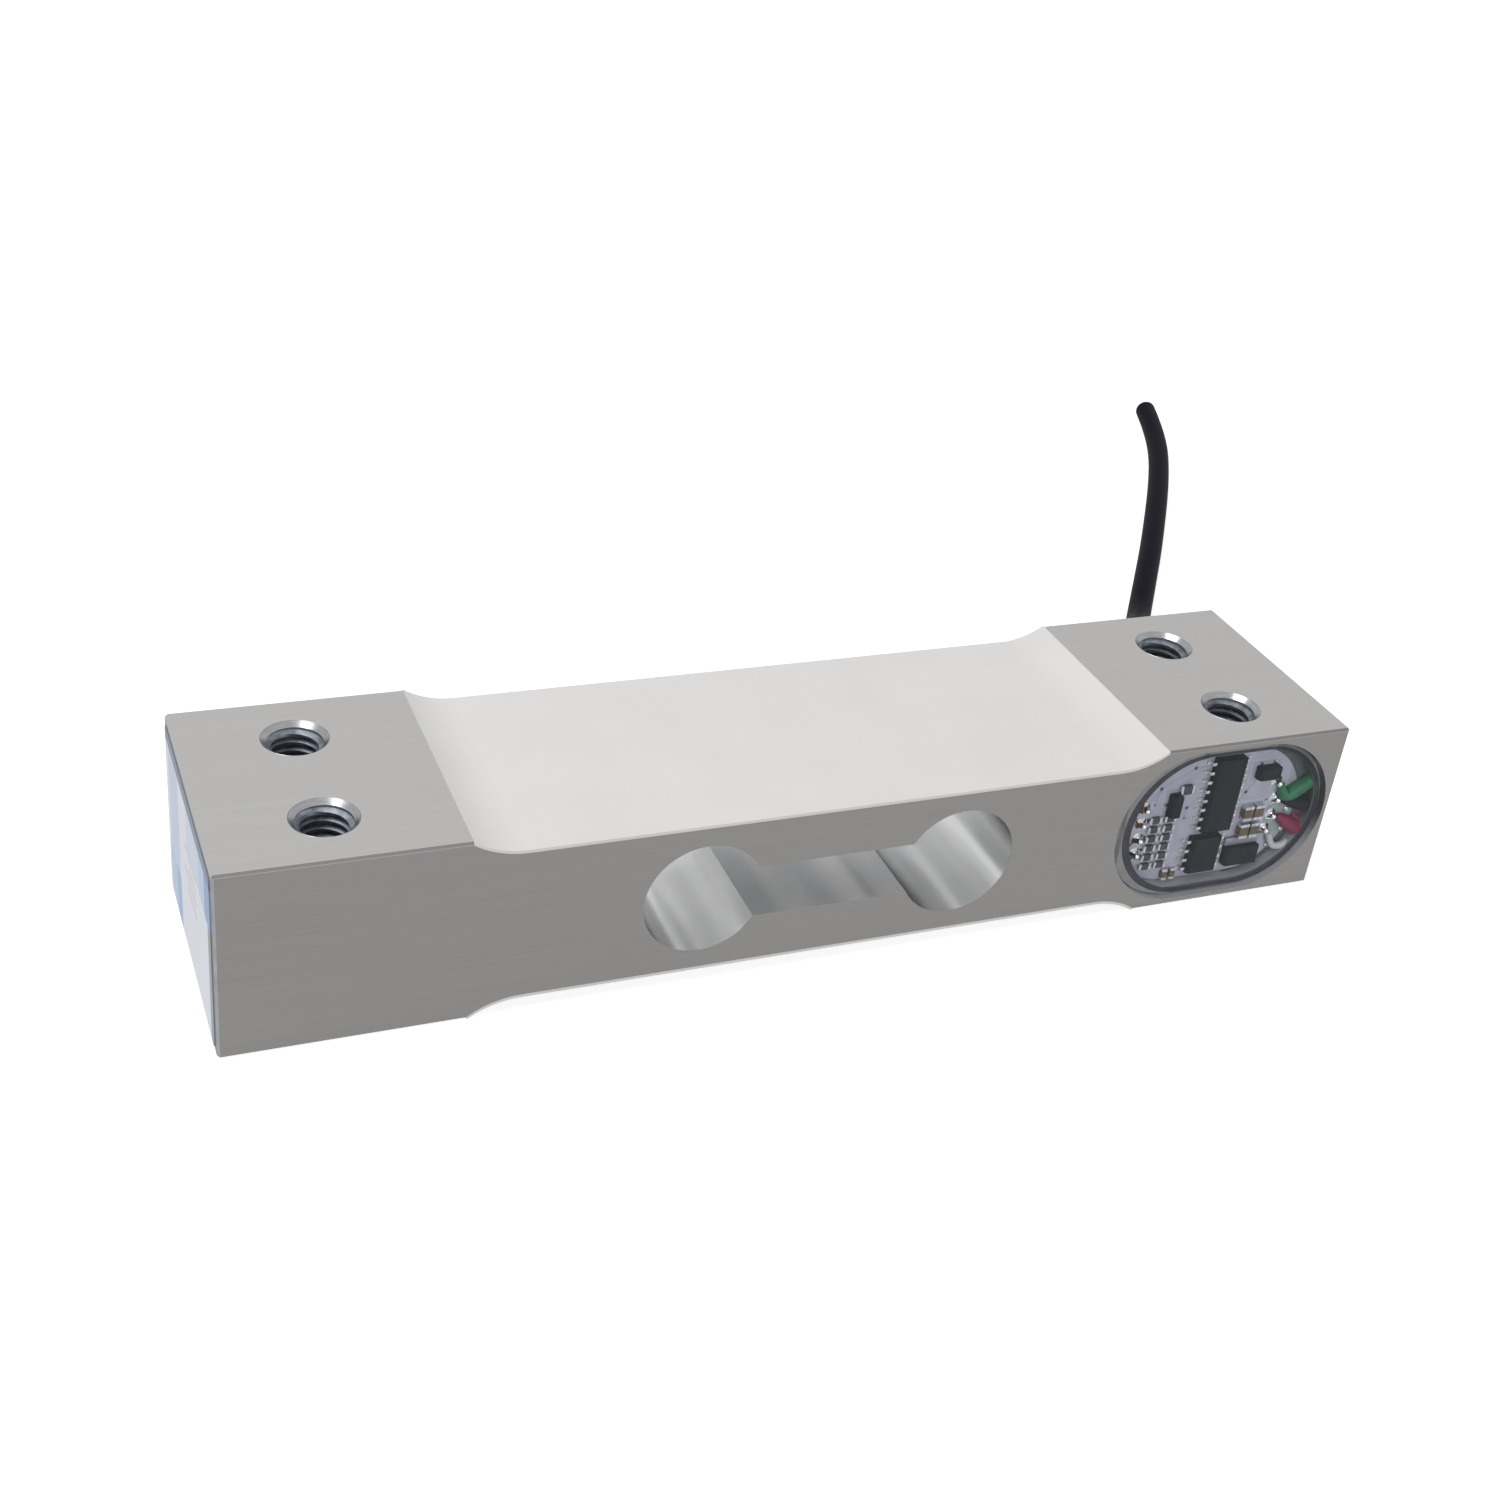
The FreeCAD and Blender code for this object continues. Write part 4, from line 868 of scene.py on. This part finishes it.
@dataclass
class SignalBoard:
    """The board in the bar's pocket, its packages, small parts, pads, tracks and solder."""

    lead_pitch_mm: float = 1.27
    lead_half_mm: float = 0.2
    lead_pad_mm: Pair = (1.1, 0.62)
    pad_height_mm: float = 0.03
    small_columns_mm: tuple[float, ...] = (41.1, 42.7, 43.1, 44.7)
    small_first_mm: float = 4.6
    small_pitch_mm: float = 1.3
    small_rows: int = 6
    filter_columns_mm: Pair = (44.9, 46.0)
    track_mm: float = 0.28
    track_height_mm: float = 0.02
    track_corner_mm: float = 0.13
    frame_line_mm: float = 0.12
    frame_gap_mm: float = 0.75
    frame_height_mm: float = 0.012
    frame_corner_mm: float = 0.03
    # The dark ring of painted shade between the potting and the pocket's wall.
    gap_shade_outer_mm: Outline = ((49.8, 11.0), (26.9, 18.5))
    gap_shade_inner_mm: Outline = ((49.2, 10.7), (25.3, 17.85))
    gap_shade_depths_mm: Pair = (-12.72, -12.5)
    joints_mm: tuple[Pair, ...] = (
        (58.7, 11.7), (58.7, 9.4), (58.3, 14.1), (58.2, 7.4), (40.2, 12.8), (40.2, 10.7),
        (40.2, 8.6), (40.2, 6.5),
    )
    vias_mm: tuple[Pair, ...] = (
        (41.9, 15.3), (46.1, 12.1), (54.1, 13.2), (46.0, 17.6), (39.0, 14.7),
    )
    runs_mm: tuple[tuple[Pair, ...], ...] = (
        ((40.2, 12.8), (41.9, 15.3), (46.0, 17.6), (47.4, 17.6)),
        ((40.2, 10.7), (39.0, 11.9), (39.0, 14.7)),
        ((42.9, 13.1), (41.5, 13.1), (41.9, 15.3)),
        ((44.8, 12.1), (46.1, 12.1), (46.1, 10.6), (47.4, 10.6)),
        ((53.2, 12.0), (54.1, 13.2), (55.2, 14.8)),
        ((57.1, 14.8), (58.3, 14.1)),
        ((56.2, 11.4), (57.4, 11.7), (58.7, 11.7)),
        ((54.7, 7.1), (54.7, 6.3)),
    )
    bead_base_mm: float = 0.85
    bead_top_mm: float = 0.38
    bead_height_mm: float = 0.98
    bead_flare: float = 2.4
    bead_dome: float = 0.34
    bead_tip: float = 0.004
    bead_rows: int = 14
    bead_columns: int = 24

    def dress_parts(self, nodes: Nodes) -> None:
        """Dresses the board and all that the CAD model has on it."""
        dress(nodes, MASK, "circuit_board")
        dress(nodes, BED, "board_adhesive")
        dress(nodes, EPOXY, "converter_chip", "controller_chip", "transistor")
        dress(nodes, EPOXY, "voltage_regulator", "voltage_reference")
        dress(nodes, TIN, "converter_leads", "controller_leads", "transistor_leads")
        dress(nodes, TIN, "regulator_leads", "reference_leads")
        dress(nodes, TIN, "resistor_end_caps", "capacitor_end_caps")
        dress(nodes, RESISTOR, "chip_resistors")
        dress(nodes, CERAMIC, "chip_capacitors")
        dress(nodes, SOLDER, "solder_joints")

    def lead_pads(self, nodes: Nodes) -> None:
        """Tinned pads under both rows of each gull-wing package's leads."""
        places, half = [], self.lead_half_mm
        for name in ("converter_leads", "controller_leads"):
            low, high = (np.array(corner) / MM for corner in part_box(name))
            rows = round((high[2] - low[2]) / self.lead_pitch_mm) + 1
            z = low[2] + half + np.arange(rows) * self.lead_pitch_mm
            places += [(x, level) for x in (low[0] + half, high[0] - half) for level in z]
        pads = board_slabs("lead_pads", places, [self.lead_pad_mm], self.pad_height_mm)
        add_piece(pads, PALE_TIN)

    def pads(self) -> tuple[Blocks, ...]:
        """Pads under the small parts' ends and the joints, vias, test pads and the heat tab."""
        rows = [self.small_first_mm + self.small_pitch_mm * row for row in range(self.small_rows)]
        ends = tuple((x, z) for z in rows for x in self.small_columns_mm)
        low, spots = self.pad_height_mm, ((60.7, 10.0), (60.7, 7.1), (59.3, 4.9))
        return (
            Blocks("small_part_pads", ends, (0.55, 0.95), low, PALE_TIN, Slot.SOLDER),
            Blocks("heat_tab", ((55.1, 6.4),), (4.7, 1.1), 0.55, TAB, Slot.LEAD, 0.25),
            Blocks("joint_pads", self.joints_mm, (2.0, 1.9), low, PALE_TIN, Slot.SOLDER, 0.85),
            Blocks("board_vias", self.vias_mm, (0.5, 0.5), 0.028, VIA, Slot.SOLDER, 0.24),
            Blocks("test_pads", spots, (0.75, 0.65), 0.3, SOLDER, Slot.SOLDER, 0.3, foot_mm=-0.1),
        )

    def small_parts(self) -> tuple[Blocks, ...]:
        """The parts that the CAD model leaves out: a clock part and two filter capacitors."""
        ends = ((44.55, 14.9), (46.05, 14.9))
        bodies = tuple((x, 3.05) for x in self.filter_columns_mm)
        caps = tuple((x, z) for x in self.filter_columns_mm for z in (2.45, 3.65))
        return (
            Blocks("clock_part", ((45.3, 14.9),), (1.3, 1.2), 0.5, RESISTOR, Slot.RESISTOR),
            Blocks("clock_part_ends", ends, (0.35, 1.2), 0.5, TIN, Slot.LEAD),
            Blocks("filter_capacitors", bodies, (0.75, 0.9), 0.6, CERAMIC, Slot.CAPACITOR),
            Blocks("filter_capacitor_ends", caps, (0.75, 0.35), 0.6, TIN, Slot.LEAD),
        )

    def pours(self) -> tuple[Blocks, ...]:
        """Potting round the board up to its face, and flux by the wires' joints."""
        pocket, spill = ((49.8, 11.0),), ((59.75, 8.9),)
        return (
            Blocks(
                "pocket_potting", pocket, (26.7, 18.3), -0.04, POTTING, Slot.SEAL,
                corner_mm=9.1, foot_mm=-0.9, steps=24,
            ),
            Blocks(
                "dried_flux", spill, (3.7, 4.3), 0.045, FLUX, Slot.SOLDER,
                corner_mm=0.9, foot_mm=-0.1, steps=6,
            ),
        )

    def painted_shade(self) -> None:
        """A low dark ring of painted shade between the potting's edge and the pocket's wall."""
        outlines = (self.gap_shade_outer_mm, self.gap_shade_inner_mm)
        ring = flat_ring("gap_shade_ring", *outlines, *self.gap_shade_depths_mm)
        add_piece(ring, GAP_SHADE)

    def tracks(self) -> None:
        """Tracks as straight runs, each as long as the way between two points plus its width."""
        ends = np.array([pair for run in self.runs_mm for pair in zip(run, run[1:])])
        steps = ends[:, 1] - ends[:, 0]
        lengths = np.hypot(steps[:, 0], steps[:, 1]) + self.track_mm
        sizes = np.stack([lengths, np.full(len(lengths), self.track_mm)], axis=1)
        turns = np.arctan2(steps[:, 1], steps[:, 0])
        height, corner = self.track_height_mm, self.track_corner_mm
        tracks = board_slabs("board_tracks", ends.mean(axis=1), sizes, height, corner, turns)
        add_piece(tracks, TRACK)

    def outlines(self, nodes: Nodes) -> None:
        """Printed frames round two packages and the capacitors: four thin bars each."""
        places, sizes, line = [], [], self.frame_line_mm
        for name in ("transistor", "voltage_reference", "chip_capacitors"):
            low, high = (np.array(corner)[[0, 2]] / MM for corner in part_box(name))
            middle, half = (low + high) / 2, (high - low) / 2 + self.frame_gap_mm
            places += [middle + half * side for side in ((1, 0), (-1, 0), (0, 1), (0, -1))]
            sizes += [(line, 2 * half[1])] * 2 + [(2 * half[0], line)] * 2
        height, corner = self.frame_height_mm, self.frame_corner_mm
        frames = board_slabs("printed_outlines", places, sizes, height, corner)
        add_piece(frames, PRINT)

    def beads(self) -> None:
        """Soldered joints: turned fillets with round tips, which stand for the plain cones.

        At height share s the radius is top + (base - top) * (1 - s) ^ flare, and over the dome's
        share at the top it shrinks as a quarter ellipse, to a tip that is not quite closed.
        """
        share = np.linspace(0, 1, self.bead_rows)[:, None]
        spread = (self.bead_base_mm - self.bead_top_mm) * (1 - share) ** self.bead_flare
        dome = np.clip((share - 1 + self.bead_dome) / self.bead_dome, 0, 1)
        radius = (self.bead_top_mm + spread) * np.sqrt(np.maximum(1 - dome**2, self.bead_tip))
        angle = round_angles(self.bead_columns)[None]
        places = np.array(self.joints_mm)[:, :, None, None]
        x = places[:, 0] + radius * np.cos(angle)
        z = places[:, 1] + radius * np.sin(angle)
        y = np.broadcast_to(BOARD_FACE_MM - share * self.bead_height_mm, x.shape)
        beads = closed_tubes("solder_beads", np.stack([x, y, z], axis=-1) * MM)
        add_piece(beads, SOLDER)
        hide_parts("solder_joints")

    def build(self, nodes: Nodes) -> None:
        """Dresses the board's nodes and adds its fine parts."""
        self.dress_parts(nodes)
        self.lead_pads(nodes)
        for blocks in (*self.pads(), *self.small_parts(), *self.pours()):
            blocks.build()
        self.painted_shade()
        self.tracks()
        self.outlines(nodes)
        self.beads()


@dataclass
class WindowUnit:
    """The clear window over the pocket, the tape that bonds it and the dark seal inside that."""

    tape_outer_mm: Outline = ((49.8, 11.0), (28.5, 20.1))
    seal_outer_mm: Outline = ((50.5, 10.65), (27.0, 19.3))
    seal_inner_mm: Outline = ((50.75, 10.65), (25.5, 18.4))
    depths_mm: Pair = (-14.1, -14.0)

    def build(self, nodes: Nodes) -> None:
        """Dresses the window and lays the two rings behind it."""
        dress(nodes, ACRYLIC, "window")
        tape = flat_ring("bonding_tape", self.tape_outer_mm, self.seal_outer_mm, *self.depths_mm)
        add_piece(tape, TAPE)
        seal = flat_ring("dark_seal", self.seal_outer_mm, self.seal_inner_mm, *self.depths_mm)
        add_piece(seal, GASKET)
        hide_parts("window_seal")


@dataclass
class WireLoom:
    """The four insulated wires: thin in the bore, and swelling to full size over the board."""

    routes_mm: dict[Slot, tuple[Knot, ...]] = field(
        default_factory=lambda: {
            Slot.GREEN: (
                (61.9, 15.0, 11.5, 0.45), (61.9, -10.5, 11.5, 0.45), (62.2, -12.3, 12.6, 0.6),
                (63.6, -12.9, 14.5, 0.95), (62.0, -13.1, 13.5, 0.97), (60.6, -13.15, 12.6, 0.95),
                (59.5, -13.2, 12.3, 0.85), (58.9, -13.15, 13.2, 0.5), (58.75, -13.05, 13.95, 0.4),
            ),
            Slot.BLACK: (
                (60.9, 15.0, 11.5, 0.45), (60.9, -10.5, 11.5, 0.45), (62.0, -12.3, 11.3, 0.6),
                (63.9, -12.9, 10.7, 0.9), (62.5, -13.1, 10.7, 0.95), (61.2, -13.2, 11.1, 0.8),
                (59.9, -13.1, 11.7, 0.7), (59.2, -13.05, 11.7, 0.4),
            ),
            Slot.RED: (
                (60.9, 15.0, 10.5, 0.45), (60.9, -10.5, 10.5, 0.45), (62.0, -12.3, 9.0, 0.6),
                (63.8, -12.9, 6.7, 0.95), (62.4, -13.1, 7.3, 1.0), (61.2, -13.15, 8.1, 0.95),
                (60.0, -13.1, 8.9, 0.7), (59.3, -13.05, 9.2, 0.4),
            ),
            Slot.WHITE: (
                (61.9, 15.0, 10.5, 0.45), (61.9, -10.5, 10.5, 0.45), (62.4, -12.3, 7.6, 0.45),
                (62.9, -12.9, 6.0, 0.45), (61.7, -13.4, 5.4, 0.42), (60.4, -13.4, 4.9, 0.42),
                (59.3, -13.3, 5.3, 0.42), (58.8, -13.1, 6.9, 0.4),
            ),
        }
    )

    def build(self) -> None:
        """Lays each wire in place of its plain tube."""
        for slot, route in self.routes_mm.items():
            colour = slot.value.removeprefix("wire_")
            wire = add_piece(smooth_line(f"{colour}_lead", route), INSULATION[slot])
            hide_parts(f"{colour}_wire")


@dataclass
class CableExit:
    """The grommet and the black cable, which lies on the floor to its cut end."""

    diameter_mm: float = 3.5
    length_mm: float = 126.5
    core_mm: float = 0.45
    strand_mm: float = 0.22
    core_ring_mm: float = 0.66
    core_depth_mm: float = 1.2
    core_reach_mm: float = 0.25
    strand_reach_mm: float = 0.45
    rod_steps: int = 16
    route_mm: tuple[Point, ...] = (
        (61.4, 15.0, 11.0), (61.4, 23.8, 11.0), (67.2, 33.1, 9.6), (72.7, 39.9, 4.8),
        (77.8, 46.9, 1.77), (85.0, 56.9, 1.77), (95.2, 71.1, 1.77), (111.5, 95.2, 1.77),
        (120.1, 110.5, 1.77), (124.4, 121.3, 1.77),
    )

    def jacket(self) -> Object:
        """The jacket as one smooth spline of even thickness."""
        points = tuple((*place, self.diameter_mm / 2) for place in self.route_mm)
        piece = add_piece(smooth_line("cable_jacket", points), JACKET)
        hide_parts("cable")
        return piece

    def rods(self, name: str, radius: float, out: float, turns: list[float]) -> Object:
        """Short rods in the cut end: circles about points on a ring, carried along the cable.

        Args:
            name: The object's name.
            radius: The rods' radius, in millimetres.
            out: How far they stand out of the cut.
            turns: The rods' angles on the ring, in radians.

        Returns:
            The object.
        """
        tip, before = np.array(self.route_mm[-1]), np.array(self.route_mm[-2])
        along = (tip - before) / np.linalg.norm(tip - before)
        across, up = np.array([along[1], -along[0], 0.0]), np.array([0.0, 0.0, 1.0])
        ring = np.array(turns)[:, None, None, None]
        angle = round_angles(self.rod_steps)[None, None, :, None]
        side = self.core_ring_mm * np.cos(ring) + radius * np.cos(angle)
        rise = self.core_ring_mm * np.sin(ring) + radius * np.sin(angle)
        reach = np.array([-self.core_depth_mm, out])[None, :, None, None]
        return closed_tubes(name, (tip + along * reach + across * side + up * rise) * MM)

    def cores(self) -> list[str]:
        """The four cores in the cut end, with their strands, by name."""
        names = []
        turns = [np.pi / 4 + k * np.pi / 2 for k in range(4)]
        for turn, (slot, finish) in zip(turns, INSULATION.items()):
            name = slot.value.replace("wire", "core")
            core = self.rods(name, self.core_mm, self.core_reach_mm, [turn])
            names.append(add_piece(core, finish).name)
        strands = self.rods("core_strands", self.strand_mm, self.strand_reach_mm, turns)
        names.append(add_piece(strands, ENAMEL).name)
        return names

    def build(self, nodes: Nodes) -> None:
        dress(nodes, RUBBER, "cable_grommet")
        jacket = self.jacket()
        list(self.cores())


class EndLabel:
    """The printed label on the bar's free end."""

    def build(self, nodes: Nodes) -> None:
        """Dresses the label."""
        dress(nodes, LABEL, "end_label")


# Room and camera


@dataclass(frozen=True)
class Lamp:
    """One square lamp that faces the object: its place, its side and its power."""

    name: str
    place_m: Point
    side_m: float
    watts: float

    def build(self) -> None:
        """Hangs the lamp."""
        data = bpy.data.lights.new(self.name, "AREA")
        data.size, data.energy = self.side_m, self.watts
        lamp = put(self.name, data)
        lamp.location = self.place_m
        lamp.rotation_euler = (-Vector(self.place_m)).to_track_quat("-Z", "Y").to_euler()


@dataclass
class Studio:
    """A white floor and sky, two soft lamps and the camera at the photograph's place."""

    focal_px: float = 2021.78
    centre_px: Pair = (781.43, 729.37)
    sensor_mm: float = 36.0
    place_mm: Point = (-86.157, -172.010, 135.139)
    right: Point = (0.91873, -0.37825, 0.11341)
    down: Point = (-0.10590, -0.51268, -0.85202)
    forward: Point = (0.38042, 0.77077, -0.51107)
    floor_m: float = 3.0
    floor_colour: str = "#BCBCBC"
    floor_glow: float = 0.8
    floor_sheen: float = 0.55
    sky: float = 0.32
    clip_m: Pair = (0.01, 20)
    lamps: tuple[Lamp, ...] = (
        Lamp("key_lamp", (-0.46, -0.1, 0.88), 0.55, 6.6),
        Lamp("fill_lamp", (0.12, -0.95, 0.35), 0.8, 3.8),
    )

    def camera(self) -> None:
        """Sets the camera from its fitted place, turn, focal length and centre."""
        data = bpy.data.cameras.new("camera")
        data.sensor_width = self.sensor_mm
        data.lens = self.focal_px / PHOTO_PIXELS * self.sensor_mm
        middle = PHOTO_PIXELS / 2
        data.shift_x = (middle - self.centre_px[0]) / PHOTO_PIXELS
        data.shift_y = (self.centre_px[1] - middle) / PHOTO_PIXELS
        data.clip_start, data.clip_end = self.clip_m
        camera = put("camera", data)
        axes = (Vector(self.right), -Vector(self.down), -Vector(self.forward))
        camera.rotation_mode = "QUATERNION"
        camera.rotation_quaternion = Matrix(axes).transposed().to_quaternion()
        camera.location = Vector(self.place_mm) * MM
        bpy.context.scene.camera = camera

    def floor(self) -> None:
        """A floor that keeps the object's shadow and looks white where nothing shades it."""
        half = self.floor_m / 2
        mesh = bpy.data.meshes.new("floor")
        corners = [(-half, -half, 0), (half, -half, 0), (half, half, 0), (-half, half, 0)]
        mesh.from_pydata(corners, [], [(0, 1, 2, 3)])
        floor = put("floor", mesh)
        material = bpy.data.materials.new("pale floor")
        tree = Tree(material)
        matt = tree.add("ShaderNodeBsdfDiffuse", {"Color": srgb(self.floor_colour)})
        path = tree.add("ShaderNodeLightPath")
        direct = tree.math("MULTIPLY", (path, "Is Camera Ray"), self.floor_glow)
        mirrored = tree.math("MULTIPLY", (path, "Is Glossy Ray"), self.floor_sheen)
        strength = tree.math("MAXIMUM", direct, mirrored)
        glow = tree.add("ShaderNodeEmission", {"Color": srgb("#FFFFFF"), "Strength": strength})
        both = tree.add("ShaderNodeAddShader", {0: (matt, 0), 1: (glow, 0)})
        tree.add("ShaderNodeOutputMaterial", {"Surface": (both, 0)})
        mesh.materials.append(material)

    def world(self) -> None:
        """A sky that is white where it is seen or mirrored, and plain light elsewhere."""
        world = bpy.data.worlds.new("sky")
        bpy.context.scene.world = world
        tree = Tree(world)
        path = tree.add("ShaderNodeLightPath")
        seen = tree.math("MAXIMUM", (path, "Is Camera Ray"), (path, "Is Glossy Ray"))
        seen = tree.math("MAXIMUM", seen, (path, "Is Transmission Ray"))
        strength = tree.spread(seen, 0, 1, (self.sky, 1.0))
        glow = tree.add("ShaderNodeBackground", {"Color": srgb("#FFFFFF"), "Strength": strength})
        tree.add("ShaderNodeOutputWorld", {"Surface": (glow, 0)})

    def build(self) -> None:
        """Sets up the whole room."""
        bpy.context.scene.view_settings.view_transform = "Standard"
        self.camera()
        self.floor()
        self.world()
        for lamp in self.lamps:
            lamp.build()


def main() -> None:
    """Builds the room and the sub-assemblies in order."""
    logging.basicConfig(level=logging.INFO)
    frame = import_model()
    nodes = frame["nodes"]
    Studio().build()
    CableExit().build(nodes)
    MachinedBar().build(nodes)
    GaugeSet().build(nodes)
    SignalBoard().build(nodes)
    WindowUnit().build(nodes)
    WireLoom().build()
    EndLabel().build(nodes)


if __name__ == "__main__":
    main()
